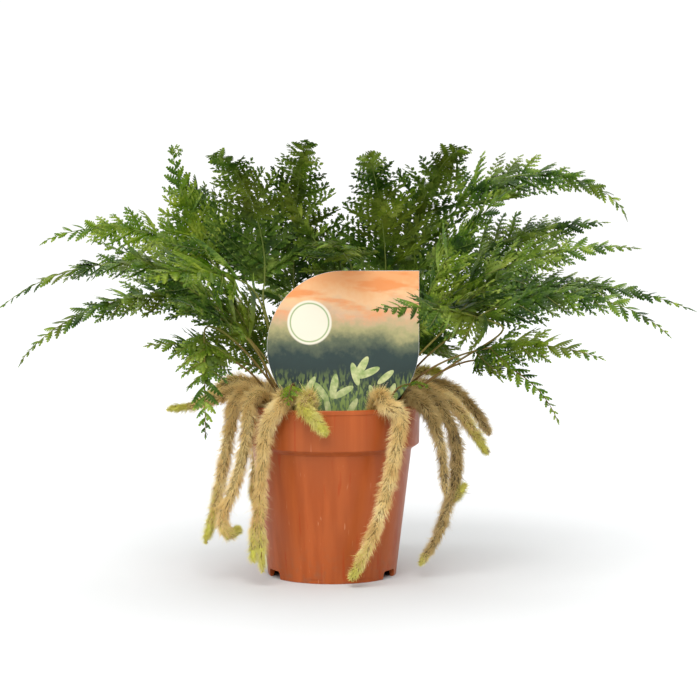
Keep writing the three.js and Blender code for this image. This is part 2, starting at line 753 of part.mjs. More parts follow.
const pot = potSolid();
const label = labelSolid(0);
const fronds = FRONDS.map(prepareFrond);
const soil = soilSolid([
  labelSolid(HOLE_GAP),
  ...fronds.map((frond) => toManifold(rachisStrip(frond, HOLE_GAP, -0.4).sheet.geometry())),
  ...RHIZOMES.map((spec) => rhizomeSolid(spec, HOLE_GAP)),
]);

addPart("pot", toGeometry(pot), terracotta);
addPart("soil", toGeometry(soil), peat);
addPart("label", toGeometry(label), card);

const neighbours = new Neighbours();
neighbours.add(pot, "pot");
neighbours.add(soil, "soil");
neighbours.add(labelSolid(CLEARANCE), "label");
for (const spec of RHIZOMES) {
  const solid = rhizomeSolid(spec);
  neighbours.add(solid, spec.name);
  addPart(`rhizome_${spec.name}`, toGeometry(solid), fur);
}
for (const frond of fronds) {
  neighbours.add(toManifold(rachisStrip(frond, CLEARANCE).sheet.geometry()), frond.name);
}
for (const frond of fronds) {
  const material = /pale|sprout|crozier/.test(frond.name) ? youngLeaf : leaf;
  addPart(`frond_${frond.name}`, frondGeometry(frond, neighbours), material);
}

export default plant;
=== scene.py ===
"""The looks of a hare's-foot fern in a nursery pot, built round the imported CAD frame.

Lengths are in millimetres until a mesh is made, and each fine piece stands where its CAD node
stands. The front of the plant, where its label is, looks along -Y.
"""

import itertools
import math

import bmesh
import bpy
import numpy as np
from mathutils import Matrix, Vector
from mathutils.kdtree import KDTree


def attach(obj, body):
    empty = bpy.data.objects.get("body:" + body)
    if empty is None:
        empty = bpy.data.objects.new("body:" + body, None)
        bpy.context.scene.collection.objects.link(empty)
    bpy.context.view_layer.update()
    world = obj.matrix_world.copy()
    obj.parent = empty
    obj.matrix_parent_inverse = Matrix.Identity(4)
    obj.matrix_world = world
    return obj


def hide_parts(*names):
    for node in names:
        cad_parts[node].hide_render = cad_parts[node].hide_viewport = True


MM = 0.001
UP = np.array([0.0, 0.0, 1.0])
BACK = np.array([0.0, 1.0, 0.0])

# ---- Camera, floor and light ----

CAMERA_PLACE = (12.2, -1304.0, 240.6)
CAMERA_PITCH = 3.89  # degrees below the horizon
CAMERA_LENS = 99.4  # on a sensor 36 mm wide
FLOOR_HALF_SIDE = 6000.0
# The studio's white surroundings: sine of the elevation, brightness
SURROUNDINGS = [(0.0, 1.06), (0.32, 1.06), (0.42, 0.6), (0.7, 0.6), (1.0, 1.0)]
# Name, where the light comes from, watts per square metre, how wide it looks in degrees
SOFT_LIGHTS = [
    ("light_key", (-0.2, -0.9, 1.0), 2.7, 50),
    ("light_back", (0.0, 0.6, 1.2), 1.7, 60),
]

# ---- Pot, soil and label, as in the CAD ----

POT_HEIGHT = 116.5
RIM_RADIUS = 60.0
BASE_RADIUS = 43.5
BAND_BOTTOM = 89.5
BAND_RADIUS = 59.5
BAND_CHAMFER = 3.5
SHOULDER_RADIUS = 53.9  # of the wall just under the band
LIP_HEIGHT = 3.0
WALL = 1.4
WALL_DRAFT = 0.6  # how far the wall's inner face leans inside the band and at the floor
INNER_SHOULDER = (1.5, -2.2)  # where it slopes from band to wall, above the band's bottom
FLOOR_UNDERSIDE, FLOOR_TOP = 4.0, 6.0
FOOT_WIDTH, FOOT_DRAFT = 2.3, 1.0
PAD_RADIUS, PAD_FLOOR, PAD_WALL, PAD_DRAFT = 14.0, 2.0, 1.2, 0.8
SOFT_EDGE = 0.4  # the small slopes at the band's edges
EDGE_RADIUS = 0.6  # of all rounded edges, at most
POT_SIDES = 192
DRAIN_HOLES = {"count": 6, "radius": 3.5, "ring": 28.0, "height": 12.0}
FOOT_NOTCHES = {"azimuths": (-152, -28, 90), "width": 15.0, "height": 5.5, "corner": 2.0, "depth": 5.6}
FOOT_RECESSES = {"azimuths": (-104, -61), "width": 10.0, "height": 3.0, "corner": 1.0, "depth": 0.2}
CUT_LENGTH = 12.0  # of the blocks that cut the foot

SOIL_TOP = 104.5
SOIL_RADIUS = 56.2
CRUMBS = 1500
CRUMB_SIZE = (0.7, 2.0)  # the smallest, and how much more the largest has
CRUMB_RISE = 0.35  # of a crumb's middle above the soil, as a share of its size

LABEL_CENTRE = np.array([7.6, -36.0, 156.5])
LABEL_RADIUS = 50.0
LABEL_THICKNESS = 0.8
STAKE_WIDTH = 8.0
STAKE_FOOT = 62.0
CARD_EDGE = 0.15  # how far the card's edges are broken

# ---- Fronds ----

STIPE_FOOT = 99.0
STIPE_RADIUS = (0.85, 0.6)  # in the soil and at the crown
RACHIS_TIP_RADIUS = 0.16
RIB_RADIUS = (0.3, 0.1)  # of a pinna, at its base and its tip
PINNA_SPACING = 9.0  # on each side of a blade, on average
PINNA_TILT = 5.0  # degrees, at random
PINNA_TWIST = (16.0, 14.0)  # degrees about its own rib, mean and spread
SIMPLE_PINNA = 15.0  # a shorter pinna is one toothed leaflet
PINNULE_ANGLE = (48.0, 5.0)  # from the pinna's rib, in degrees, mean and spread
PINNULE_SIDES = (1.14, 0.86)  # how long those of its upper and lower side are
PINNULE_SPREAD = 0.09  # in length, at random
FIRST_PINNULES = (0.12, 0.3)  # up to where on the rib the upper ones are longer, and how much
PINNULE_WIDTH = 0.24  # half-width as a share of the length
BLADE_END = 0.985
LAST_LEAFLET = 0.965  # where the leaflet at the tip of the blade begins
# The CAD's pinnae take the first of these turns (degrees, stretch) that clears their neighbours.
BENDS = [
    (0, 1), (15, 1), (-15, 1), (30, 1), (-30, 1),
    (0, 0.72), (20, 0.72), (-20, 0.72), (42, 0.72), (-42, 0.72),
    (0, 0.5), (25, 0.5), (-25, 0.5), (0, 0.32), (30, 0.32), (-30, 0.32),
]
NO_PINNA = (0, 0.4)  # where the CAD left one out
CAD_THICKNESS = 0.32  # half of that of a CAD pinna
BEND_FOUND = 0.05  # how near a CAD vertex lies to where a bend puts it

# Name, root (x, y), crown, tip, arch and roll in degrees, half-width, pairs of pinnae
FRONDS = [
    ("left_long", (-26, 2), (-78, 0, 196), (-223, 0, 181), 36, -24, 40, 10),
    ("left_low", (-29, -10), (-80, -26, 184), (-203, -46, 147), 38, -38, 32, 9),
    ("left_pale", (-22, 14), (-76, 28, 204), (-202, 44, 224), 36, -46, 46, 9),
    ("left_crozier", (-17, 8), (-82, 14, 212), (-109, 20, 287), -12, -60, 36, 5),
    ("left_upright", (-18, -4), (-46, -2, 194), (-78, -72, 280), 62, 24, 58, 10),
    ("left_inner_high", (-15, 16), (-60, 36, 198), (-110, 32, 274), 16, -60, 50, 8),
    ("left_inner_front", (-23, -5), (-52, -26, 158), (-150, -68, 226), 14, -45, 48, 8),
    ("front_left_droop", (-24, -17), (-80, -84, 168), (-76, -132, 108), 10, 0, 27, 7),
    ("front_left_pale", (-33, -14), (-57, -56, 200), (-112, -122, 204), 16, -30, 46, 10),
    ("front_left_low", (-36, -6), (-60, -50, 146), (-118, -78, 160), 20, -30, 34, 7),
    ("front_left_fan", (-28, -29), (-58, -68, 168), (-98, -138, 190), 12, -20, 40, 7),
    ("middle_left_tall", (-10, 8), (-26, 18, 186), (-14, -68, 289), 62, -16, 58, 10),
    ("middle_reach", (-4, 2), (8, 4, 200), (-32, -14, 266), -10, -60, 32, 6),
    ("middle_front", (4, -14), (12, -26, 212), (-6, -92, 226), 14, 0, 40, 7),
    ("middle_right_tall", (10, 0), (36, -2, 184), (20, -82, 280), 60, 18, 58, 10),
    ("right_tall", (16, 8), (54, 22, 196), (90, -56, 285), 58, -22, 58, 10),
    ("right_inner_front", (18, -10), (56, -28, 162), (122, -56, 262), 26, 45, 52, 9),
    ("right_arch", (24, 8), (84, 16, 246), (202, 28, 242), 64, 40, 42, 9),
    ("right_mid", (22, -6), (74, -20, 186), (201, -30, 221), 22, 44, 42, 9),
    ("right_back", (20, 16), (84, 44, 208), (194, 66, 238), 14, 44, 46, 8),
    ("right_long", (30, 2), (80, 4, 182), (243, 0, 179), 22, 34, 38, 10),
    ("right_low_long", (34, 9), (96, -40, 176), (217, -60, 166), 40, 42, 36, 8),
    ("right_flat", (33, -1), (90, -52, 154), (172, -84, 152), 18, 45, 32, 8),
    ("right_low", (39, -9), (92, -44, 148), (144, -84, 112), 38, 35, 16, 8),
    ("front_right_fan", (27, -15), (80, -52, 176), (112, -132, 210), 10, 20, 44, 7),
    ("front_label", (38, -13), (106, -76, 174), (27, -137, 186), 10, -50, 40, 7),
    ("back_left", (-22, 24), (-66, 54, 172), (-150, 112, 196), 20, 0, 46, 7),
    ("back_left_high", (-12, 20), (-40, 58, 190), (-104, 140, 232), 16, 0, 44, 7),
    ("back_middle_left", (-12, 29), (-28, 76, 176), (-50, 170, 180), 22, 0, 44, 7),
    ("back_middle", (2, 18), (4, 56, 186), (10, 146, 226), 14, 0, 42, 7),
    ("back_middle_right", (12, 29), (32, 76, 174), (58, 170, 176), 22, 0, 44, 7),
    ("back_right_high", (12, 20), (46, 58, 190), (116, 136, 228), 16, 0, 44, 7),
    ("back_right", (24, 23), (74, 56, 168), (164, 112, 184), 20, 0, 46, 7),
    ("back_low_left", (-4, 33), (-14, 92, 146), (-20, 176, 126), 14, 0, 38, 6),
    ("back_low_right", (22, 28), (54, 84, 146), (96, 160, 130), 14, 0, 38, 6),
    ("left_base", (-20, 1), (-44, -4, 136), (-84, -30, 206), 16, 55, 42, 7),
    ("right_base", (26, 3), (44, -8, 146), (78, -30, 214), 10, -54, 42, 7),
    ("right_base_back", (26, 20), (56, 32, 146), (98, 50, 200), 16, 20, 42, 6),
    ("front_left_sprout", (-19, -39), (-25, -47, 133), (-28, -72, 122), 20, 0, 11, 5),
    ("front_right_sprout", (33, -39), (45, -46, 131), (64, -60, 131), 24, 0, 11, 5),
]
YOUNG = ("pale", "sprout", "crozier")  # in the names of young fronds
# The tip of the crozier is still rolled up.
CURL = {"turns": 1.3, "radius": 2.5, "thickness": (0.6, 0.35), "leaflets": 14, "leaflet": 3.6}
# A frond's paints are three tones of its upper side, its underside and its stem.
OLD_PAINTS = ("dark", "mid", "fresh", "under", "stem")
YOUNG_PAINTS = ("mid", "young", "fresh", "young_under", "stem")
UNDER, STEM = 3, 4
# For each tone, the paints of a leaflet's upper and lower side and of both sides of its tip
PART_TONES = ((0, 0, 1, UNDER), (1, UNDER, 2, 2), (2, 2, 2, UNDER))
# The shares of pinnae in each tone: of old fronds in turn, and of a young one
TONES = [(0.7, 0.25, 0.05), (0.5, 0.4, 0.1), (0.5, 0.35, 0.15), (0.25, 0.5, 0.25), (0.6, 0.3, 0.1)]
YOUNG_TONES = (0.15, 0.65, 0.2)

# ---- Rhizomes ----

ROOT_RING = 48.5
RHIZOME_FOOT = 98.5
RHIZOME_STEP = 1.6  # between the rings of a core
CORE_SHARE = 0.6  # of the CAD's radius that isn't fur
CORE_SIDES = 14
CORE_LUMPS = 0.1
# The places of a rhizome's paints in these lists
CORE_PAINT, TIP_PAINT, FUR_PAINT, YOUNG_FUR_PAINT, SCALE_PAINT = range(5)
CREAM_PAINTS = ("rhizome_core", "rhizome_tip", "fur", "fur_young", "scales")
BROWN_PAINTS = ("rhizome_core_brown", "rhizome_tip", "fur_brown", "fur_young", "scales")
HAIRS_PER_MM2 = 2.7
HAIRS_PER_TUFT = 6
HAIR_LEAN = 44.0  # away from the core, in degrees
HAIR_ROOT = 0.9  # how far from the axis a hair starts, as a share of the core's radius
HAIR_LENGTHS = (0.3, 1.5)  # the least and the most, as a share of the usual length
HAIR_WIDTH = 0.4
HAIR_THICKNESS = 0.6  # as a share of its width
# How tufts differ, and the hairs of one tuft: lean in degrees, length as a share of the usual
TUFT_SPREAD = {"lean": 9.0, "share": 0.2, "mean_share": 0.95}
SPREAD_IN_TUFT = {"place": 1.5, "angle": 0.35, "lean": 10.0, "share": 0.16}
TUFT_PULL = 0.4  # how far the hairs of a tuft run together at their ends
TUFTS_END = 0.93  # the hairs beyond stand alone
GUARD_HAIRS = (0.12, 1.35)  # the share of hairs that are longer, and how much longer
SCALES = (0.018, 1.8)  # the share of hairs that are brown scales, and how much wider
TIP_HAIRS = (0.85, 0.35)  # where hairs begin to shorten, and how much the last ones lose
YOUNG_LENGTH = 10.0  # of the green tip
CLOSING = 0.03  # the last share of a core, where it draws to a point
TIP_FADE = 2.5  # how far green hairs reach back among the others, in lengths of the tip
# The rhizomes whose green tips are longer, shorter or gone
OTHER_TIPS = {"front_left_short": 22.0, "right_long": 3.0, "right_outer": 0.0, "right_short": 0.0}
BROWN_RHIZOMES = ("right_short", "right_long", "right_outer", "right_upper", "back_middle")

# Name, azimuth at the rim, radius, points beyond the rim, points of a side branch
RHIZOMES = [
    (
        "front_right", -57, 6,
        [(44.5, -54, 112), (42, -58, 92), (36.5, -58, 66), (29, -58, 40), (20.5, -57, 20),
         (13, -56, 6)],
    ),
    ("front_left_short", 255, 6, [(-11, -67, 112), (-3, -69, 102)]),
    (
        "front_left_long", 240, 6,
        [(-42, -55, 104), (-45, -56, 78), (-46.5, -55, 45), (-45, -53, 11)],
        [(-46, -55, 60), (-50, -55, 38), (-51, -53, 17)],
    ),
    (
        "left_hooked", 217, 6,
        [(-54.5, -45, 103), (-62, -48, 70), (-71, -48, 46), (-68, -48, 35), (-60, -47, 37)],
    ),
    ("left_long", 200, 6, [(-67, -24, 104), (-72, -28, 76), (-77, -30, 50), (-84, -30, 26)]),
    ("left_level", 178, 5.5, [(-75, -3, 121), (-90, -7, 116), (-110, -10, 112.5)]),
    ("left_upper", 152, 6, [(-68, 26, 129), (-80, 24, 122), (-86, 24, 114)]),
    ("right_short", -30, 6, [(66, -38, 110), (72.5, -39, 88), (75.5, -38, 58)]),
    (
        "right_long", -8, 6,
        [(74, -12, 112), (83, -15, 92), (82.6, -18, 65), (77, -20, 47), (70.4, -22, 28),
         (59, -24, 10)],
        [(79, -19, 52), (85, -20, 57), (89, -20, 63)],
    ),
    ("right_arched", 12, 6, [(73, 6, 120), (85, 1, 112), (95, -4, 98), (104.7, -7, 82)]),
    ("right_outer", 28, 6, [(70, 28, 126), (86, 26, 121), (99, 21, 107), (108, 18, 93)]),
    ("right_upper", 44, 5.5, [(60, 42, 134), (76, 38, 134)]),
    ("back_right", 69, 6, [(27, 66, 110), (28, 70, 84), (25, 72, 56)]),
    ("back_middle", 88, 6, [(8, 70, 108), (6, 71, 74), (10, 72, 40), (14, 70, 20)]),
    ("back_left", 108, 6, [(-23, 67, 110), (-27, 68, 88), (-26, 70, 66)]),
    ("back_left_long", 130, 6, [(-47, 55, 108), (-53, 58, 80), (-56, 60, 48), (-52, 62, 34)]),
]

# ---- Vectors ----


def unit(vectors):
    return vectors / np.linalg.norm(vectors, axis=-1, keepdims=True)


def turn(vectors, axes, angles):
    """Vectors turned about unit axes by angles in radians, row by row."""
    cos = np.cos(angles)[..., None]
    sin = np.sin(angles)[..., None]
    part = np.sum(vectors * axes, axis=-1, keepdims=True)
    return vectors * cos + np.cross(axes, vectors) * sin + axes * part * (1 - cos)


def on_ring(azimuth, radius, height):
    angle = math.radians(azimuth)
    return np.array([radius * math.cos(angle), radius * math.sin(angle), height])


def bezier(controls, t):
    """Points and unit tangents at t of a cubic curve with four control points."""
    a, b, c, d = controls
    t = t[:, None]
    s = 1 - t
    points = a * s**3 + 3 * b * s**2 * t + 3 * c * s * t**2 + d * t**3
    tangents = (b - a) * s**2 + 2 * (c - b) * s * t + (d - c) * t**2
    return points, unit(tangents)


def catmull_rom(points, t):
    """Points at t, 0 to 1, on the curve through all points, with the same share of t for each span."""
    first, last = 2 * points[0] - points[1], 2 * points[-1] - points[-2]
    knots = np.vstack([first, points, last])
    spans = len(points) - 1
    place = np.clip(t * spans, 0, spans - 1e-9)
    i = place.astype(int)
    w = (place - i)[:, None]
    p0, p1, p2, p3 = knots[i], knots[i + 1], knots[i + 2], knots[i + 3]
    m1, m2 = (p2 - p0) / 2, (p3 - p1) / 2
    return (
        (2 * w**3 - 3 * w**2 + 1) * p1
        + (w**3 - 2 * w**2 + w) * m1
        + (3 * w**2 - 2 * w**3) * p2
        + (w**3 - w**2) * m2
    )


# ---- Meshes ----


def placed(name, data):
    """A new object in the scene."""
    thing = bpy.data.objects.new(name, data)
    bpy.context.scene.collection.objects.link(thing)
    return thing


class Soup:
    """Gathers the triangles of one piece, in millimetres, each with a material number."""

    def __init__(self):
        self.points = []
        self.triangles = []
        self.materials = []
        self.count = 0

    def add(self, points, triangles, material):
        self.points.append(points.reshape(-1, 3))
        self.triangles.append(triangles.reshape(-1, 3) + self.count)
        self.materials.append(np.broadcast_to(material, len(self.triangles[-1])))
        self.count += len(self.points[-1])

    def add_copies(self, points, triangles, materials):
        """Many copies of one shape: points is (copies, points, 3) and the rest is for one copy."""
        copies, each = points.shape[:2]
        shift = (np.arange(copies) * each)[:, None, None]
        self.add(points, triangles[None] + shift, np.tile(materials, copies))

    def piece(self, name, materials, sharp=50.0):
        points = np.vstack(self.points) * MM
        triangles = np.vstack(self.triangles)
        mesh = bpy.data.meshes.new(name)
        mesh.vertices.add(len(points))
        mesh.vertices.foreach_set("co", points.ravel())
        mesh.loops.add(triangles.size)
        mesh.loops.foreach_set("vertex_index", triangles.ravel())
        mesh.polygons.add(len(triangles))
        mesh.polygons.foreach_set("loop_start", np.arange(0, triangles.size, 3))
        mesh.polygons.foreach_set("material_index", np.concatenate(self.materials))
        for material in materials:
            mesh.materials.append(material)
        mesh.update(calc_edges=True)
        return shown(name, mesh, sharp)


def shown(name, mesh, sharp):
    """A scene object for the mesh, smooth except along edges sharper than an angle in degrees."""
    mesh.polygons.foreach_set("use_smooth", np.ones(len(mesh.polygons), bool))
    mesh.set_sharp_from_angle(angle=math.radians(sharp))
    return placed(name, mesh)


def stand_for(piece, node):
    """The piece moves with the plant and takes the place of a CAD node."""
    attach(piece, "root")
    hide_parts(node)


def tube(soup, points, radii, sides, materials, bumps=None):
    """A closed tube along points, with a radius for each, and end caps."""
    tangents = unit(np.gradient(points, axis=0))
    normal = unit(np.cross(tangents[0], UP + 0.01 * tangents[0][::-1]))
    normals = []
    for tangent in tangents:
        normal = unit(normal - tangent * (normal @ tangent))
        normals.append(normal)
    normals = np.array(normals)
    others = np.cross(tangents, normals)
    angles = 2 * math.pi * np.arange(sides) / sides
    cos, sin = np.cos(angles)[:, None], np.sin(angles)[:, None]
    rings = normals[:, None] * cos + others[:, None] * sin
    reach = np.broadcast_to(radii[:, None], (len(points), sides))
    if bumps is not None:
        reach = reach * bumps
    wall = points[:, None] + rings * reach[..., None]
    corners = np.vstack([wall.reshape(-1, 3), points[0], points[-1]])
    i, j = np.meshgrid(np.arange(len(points) - 1), np.arange(sides), indexing="ij")
    a, b = i * sides + j, i * sides + (j + 1) % sides
    c, d = a + sides, b + sides
    faces = np.stack([a, b, d, a, d, c], axis=-1).reshape(-1, 3)
    j = np.arange(sides)
    last = (len(points) - 1) * sides
    start = np.stack([(j + 1) % sides, j, np.full(sides, len(corners) - 2)], axis=-1)
    end = np.stack([last + j, last + (j + 1) % sides, np.full(sides, len(corners) - 1)], axis=-1)
    kinds = np.broadcast_to(materials, len(points) - 1)
    caps = np.repeat(kinds[[0, -1]], sides)
    soup.add(corners, np.vstack([faces, start, end]), np.append(np.repeat(kinds, 2 * sides), caps))
    return tangents, normals, others


# ---- Materials ----

LEAF_GLOW = (0.44, 0.72, 0.05)  # the light that passes through a leaf's skin
LEAF_RUST = (0.13, 0.09, 0.02)
LEAF_SUNNY = (0.2, 0.225, 0.012)  # where a whole part of the plant is yellower
# The dark, middle and light of each, then the roughness and the share of light let through
LEAF_PAINTS = {
    "dark": ((0.010, 0.032, 0.002), (0.027, 0.066, 0.003), (0.085, 0.145, 0.015), 0.42, 0.1),
    "mid": ((0.020, 0.055, 0.003), (0.064, 0.128, 0.007), (0.18, 0.25, 0.032), 0.42, 0.18),
    "fresh": ((0.040, 0.09, 0.005), (0.125, 0.20, 0.013), (0.30, 0.36, 0.06), 0.42, 0.24),
    "under": ((0.022, 0.056, 0.005), (0.066, 0.124, 0.012), (0.18, 0.25, 0.042), 0.5, 0.16),
    "young": ((0.06, 0.11, 0.004), (0.13, 0.185, 0.01), (0.29, 0.34, 0.035), 0.45, 0.36),
    "young_under": ((0.08, 0.13, 0.01), (0.15, 0.2, 0.016), (0.26, 0.32, 0.045), 0.6, 0.36),
}
# The dark, middle and light of each kind of hair
FURS = {
    "fur": ((0.66, 0.42, 0.15), (0.92, 0.73, 0.36), (0.98, 0.91, 0.62)),
    "fur_brown": ((0.34, 0.24, 0.09), (0.62, 0.48, 0.22), (0.90, 0.78, 0.46)),
    "fur_young": ((0.55, 0.54, 0.08), (0.75, 0.71, 0.2), (0.90, 0.85, 0.43)),
    "scales": ((0.03, 0.014, 0.006), (0.14, 0.06, 0.02), (0.42, 0.2, 0.07)),
}
# The dark and light of what is under them, then the roughness
CORES = {
    "rhizome_core": ((0.16, 0.11, 0.03), (0.42, 0.31, 0.11), 0.7),
    "rhizome_core_brown": ((0.05, 0.035, 0.015), (0.2, 0.14, 0.05), 0.7),
    "rhizome_tip": ((0.46, 0.46, 0.04), (0.66, 0.64, 0.1), 0.5),
}
STIPE_GREEN = (110.0, 220.0)  # the heights where a stipe begins to turn green and is quite green


def add_node(tree, kind, inputs=(), **settings):
    """A node with some inputs linked to sockets or set to values."""
    node = tree.nodes.new(kind)
    for key, value in settings.items():
        setattr(node, key, value)
    for key, value in dict(inputs).items():
        if isinstance(value, bpy.types.NodeSocket):
            tree.links.new(value, node.inputs[key])
        else:
            node.inputs[key].default_value = value
    return node


class Paint:
    """A Principled material and short names for the nodes that make its pattern."""

    def __init__(self, name, **sockets):
        self.material = bpy.data.materials.new(name)
        self.material.use_nodes = True
        self.tree = self.material.node_tree
        self.shader = self.tree.nodes["Principled BSDF"]
        for socket, value in sockets.items():
            self.shader.inputs[socket.replace("_", " ")].default_value = value
        self.place = self.node("ShaderNodeTexCoord").outputs["Object"]

    def node(self, kind, inputs=(), **settings):
        return add_node(self.tree, kind, inputs, **settings)

    def stretched(self, scale, shift=(0, 0, 0)):
        inputs = {"Vector": self.place, "Scale": scale, "Location": shift}
        return self.node("ShaderNodeMapping", inputs).outputs["Vector"]

    def noise(self, size, detail, vector=None):
        """Noise from 0 to 1 with features of about a size in millimetres."""
        inputs = {"Vector": vector or self.place, "Scale": 1 / (size * MM), "Detail": detail}
        return self.node("ShaderNodeTexNoise", inputs).outputs["Fac"]

    def ramp(self, factor, stops):
        """Colours or greys along stops of (place, value)."""
        node = self.node("ShaderNodeValToRGB", {"Fac": factor})
        stops = list(stops)
        elements = node.color_ramp.elements
        while len(elements) < len(stops):
            elements.new(1.0)
        for element, (place, value) in zip(elements, stops):
            element.position = place
            element.color = (*value, 1) if isinstance(value, tuple) else (value, value, value, 1)
        return node.outputs["Color"]

    def rise(self, factor, low, high, top=1.0):
        """0 up to low, and from there to the top at high."""
        return self.ramp(factor, [(low, 0.0), (high, top)])

    def math(self, operation, a, b):
        return self.node("ShaderNodeMath", {0: a, 1: b}, operation=operation).outputs["Value"]

    def times(self, a, b):
        return self.math("MULTIPLY", a, b)

    def wobble(self, noise, size):
        """Noise turned into a shift to both sides of 0."""
        return self.times(self.math("SUBTRACT", noise, 0.5), size)

    def mix(self, factor, a, b):
        node = self.node("ShaderNodeMix", data_type="RGBA")
        sockets = {s.name: s for s in node.inputs if s.enabled}
        for key, value in (("Factor", factor), ("A", a), ("B", b)):
            if isinstance(value, bpy.types.NodeSocket):
                self.tree.links.new(value, sockets[key])
            else:
                sockets[key].default_value = (*value, 1) if isinstance(value, tuple) else value
        return next(s for s in node.outputs if s.enabled)

    def axis(self, name):
        return self.node("ShaderNodeSeparateXYZ", {"Vector": self.place}).outputs[name]

    def set(self, **links):
        for socket, value in links.items():
            self.tree.links.new(value, self.shader.inputs[socket.replace("_", " ")])
        return self.material

    def let_light_through(self, colour, share):
        """Mixes a share of translucence of that colour into the surface."""
        thin = self.node("ShaderNodeBsdfTranslucent", {"Color": (*colour, 1)})
        both = {"Fac": share, 1: self.shader.outputs["BSDF"], 2: thin.outputs["BSDF"]}
        mixed = self.node("ShaderNodeMixShader", both)
        surface = self.tree.nodes["Material Output"].inputs["Surface"]
        self.tree.links.new(mixed.outputs["Shader"], surface)
        return self.material

    def bump(self, height, distance, strength):
        inputs = {"Height": height, "Distance": distance * MM, "Strength": strength}
        normal = self.node("ShaderNodeBump", inputs).outputs["Normal"]
        self.tree.links.new(normal, self.shader.inputs["Normal"])


def leaf_paint(name, dark, middle, light, roughness, thinness):
    """A leaf's green, mottled over centimetres and within each leaflet; it lets light through."""
    paint = Paint(name, Roughness=roughness, Specular_IOR_Level=0.16)
    mixed = paint.mix(0.4, paint.noise(16, 2), paint.noise(1.5, 3))
    green = paint.ramp(mixed, [(0.4, dark), (0.5, middle), (0.6, light)])
    spots = paint.noise(9, 4, paint.stretched((1, 1, 1), shift=(0.3, 0.1, 0.2)))
    green = paint.mix(paint.rise(spots, 0.66, 0.76, 0.4), green, LEAF_RUST)
    green = paint.mix(paint.rise(paint.noise(42, 2), 0.5, 0.66, 0.35), green, LEAF_SUNNY)
    paint.bump(paint.noise(0.9, 2), 0.08, 0.6)
    paint.set(Base_Color=green)
    return paint.let_light_through(LEAF_GLOW, thinness)


def stipe_paint():
    """Red-brown where it leaves the fur, green towards the blade."""
    paint = Paint("stipe", Roughness=0.6, Specular_IOR_Level=0.25)
    low, high = STIPE_GREEN
    height = paint.times(paint.math("SUBTRACT", paint.axis("Z"), low * MM), 1 / ((high - low) * MM))
    place = paint.math("ADD", height, paint.wobble(paint.noise(24, 2), 0.5))
    colours = ((0.09, 0.036, 0.016), (0.17, 0.1, 0.026), (0.19, 0.18, 0.035), (0.13, 0.18, 0.03))
    colour = paint.ramp(place, zip((0.0, 0.25, 0.5, 1.0), colours))
    paint.bump(paint.noise(1.2, 2), 0.1, 0.5)
    return paint.set(Base_Color=colour)


def fur_paint(name, dark, middle, light):
    """Papery hairs that let light through, browner in places, each a little different."""
    paint = Paint(name, Roughness=0.7, Specular_IOR_Level=0.2)
    mixed = paint.mix(0.5, paint.noise(14, 3), paint.noise(0.7, 2))
    paint.set(Base_Color=paint.ramp(mixed, [(0.34, dark), (0.5, middle), (0.66, light)]))
    return paint.let_light_through(light, 0.4)


def core_paint(name, dark, light, roughness):
    paint = Paint(name, Roughness=roughness)
    mixed = paint.mix(0.5, paint.noise(8, 3), paint.noise(1.1, 3))
    paint.bump(paint.noise(0.8, 3), 0.3, 0.8)
    return paint.set(Base_Color=paint.ramp(mixed, [(0.35, dark), (0.65, light)]))


def pot_paint():
    """Moulded plastic with faint streaks down the wall, partly flow marks and partly painted
    reflection, scuffs and a little dried soil.
    """
    paint = Paint("terracotta_plastic", Specular_IOR_Level=0.25)
    def down_wall(size, detail, squeeze):
        return paint.noise(size, detail, paint.stretched((1, 1, squeeze)))

    # Light and dark streaks down the wall: partly flow marks of the moulding, partly painted
    # reflection streaks.
    streaks = paint.rise(down_wall(7, 3, 0.035), 0.42, 0.62)
    colour = paint.mix(streaks, (0.35, 0.072, 0.013), (0.41, 0.09, 0.018))
    colour = paint.mix(paint.rise(paint.noise(45, 3), 0.4, 0.7, 0.35), colour, (0.31, 0.085, 0.026))
    # Darker red streaks down the wall: painted reflection, which also stands for flow marks.
    reflection_and_flow_streaks = paint.rise(down_wall(5, 2, 0.03), 0.62, 0.68, 0.6)
    colour = paint.mix(reflection_and_flow_streaks, colour, (0.36, 0.045, 0.004))
    scratches = paint.rise(down_wall(1.3, 1, 0.012), 0.74, 0.78, 0.4)
    colour = paint.mix(scratches, colour, (0.62, 0.3, 0.16))
    low = paint.ramp(paint.axis("Z"), [(0.0, 1.0), (0.03, 0.0)])
    dust = paint.times(low, paint.rise(paint.noise(5, 5), 0.5, 0.75, 0.45))
    colour = paint.mix(dust, colour, (0.2, 0.11, 0.06))
    scuffs = down_wall(2.2, 4, 0.3)
    roughness = paint.ramp(scuffs, [(0.3, 0.33), (0.7, 0.47)])
    paint.bump(paint.mix(0.3, scuffs, paint.noise(0.8, 3)), 0.06, 0.5)
    return paint.set(Base_Color=colour, Roughness=roughness)


def soil_paint():
    """Dark peat with paler fibres."""
    paint = Paint("peat", Roughness=0.95, Specular_IOR_Level=0.2)
    mixed = paint.mix(0.5, paint.noise(6, 4), paint.noise(1.1, 3))
    colours = ((0.012, 0.008, 0.005), (0.035, 0.022, 0.013), (0.1, 0.062, 0.035))
    colour = paint.ramp(mixed, zip((0.35, 0.52, 0.68), colours))
    paint.bump(paint.noise(1.6, 5), 0.8, 1.0)
    return paint.set(Base_Color=colour)


def card_paint():
    paint = Paint("card_back", Roughness=0.55)
    colour = paint.ramp(paint.noise(18, 4), [(0.4, (0.72, 0.71, 0.68)), (0.6, (0.8, 0.79, 0.76))])
    paint.bump(paint.noise(0.5, 3), 0.03, 0.4)
    return paint.set(Base_Color=colour)


def floor_paint():
    paint = Paint("floor", Roughness=0.9, Specular_IOR_Level=0.1)
    colour = paint.ramp(paint.noise(500, 2), [(0.4, (0.60, 0.608, 0.61)), (0.6, (0.61, 0.618, 0.62))])
    return paint.set(Base_Color=colour)


# ---- The label's print ----

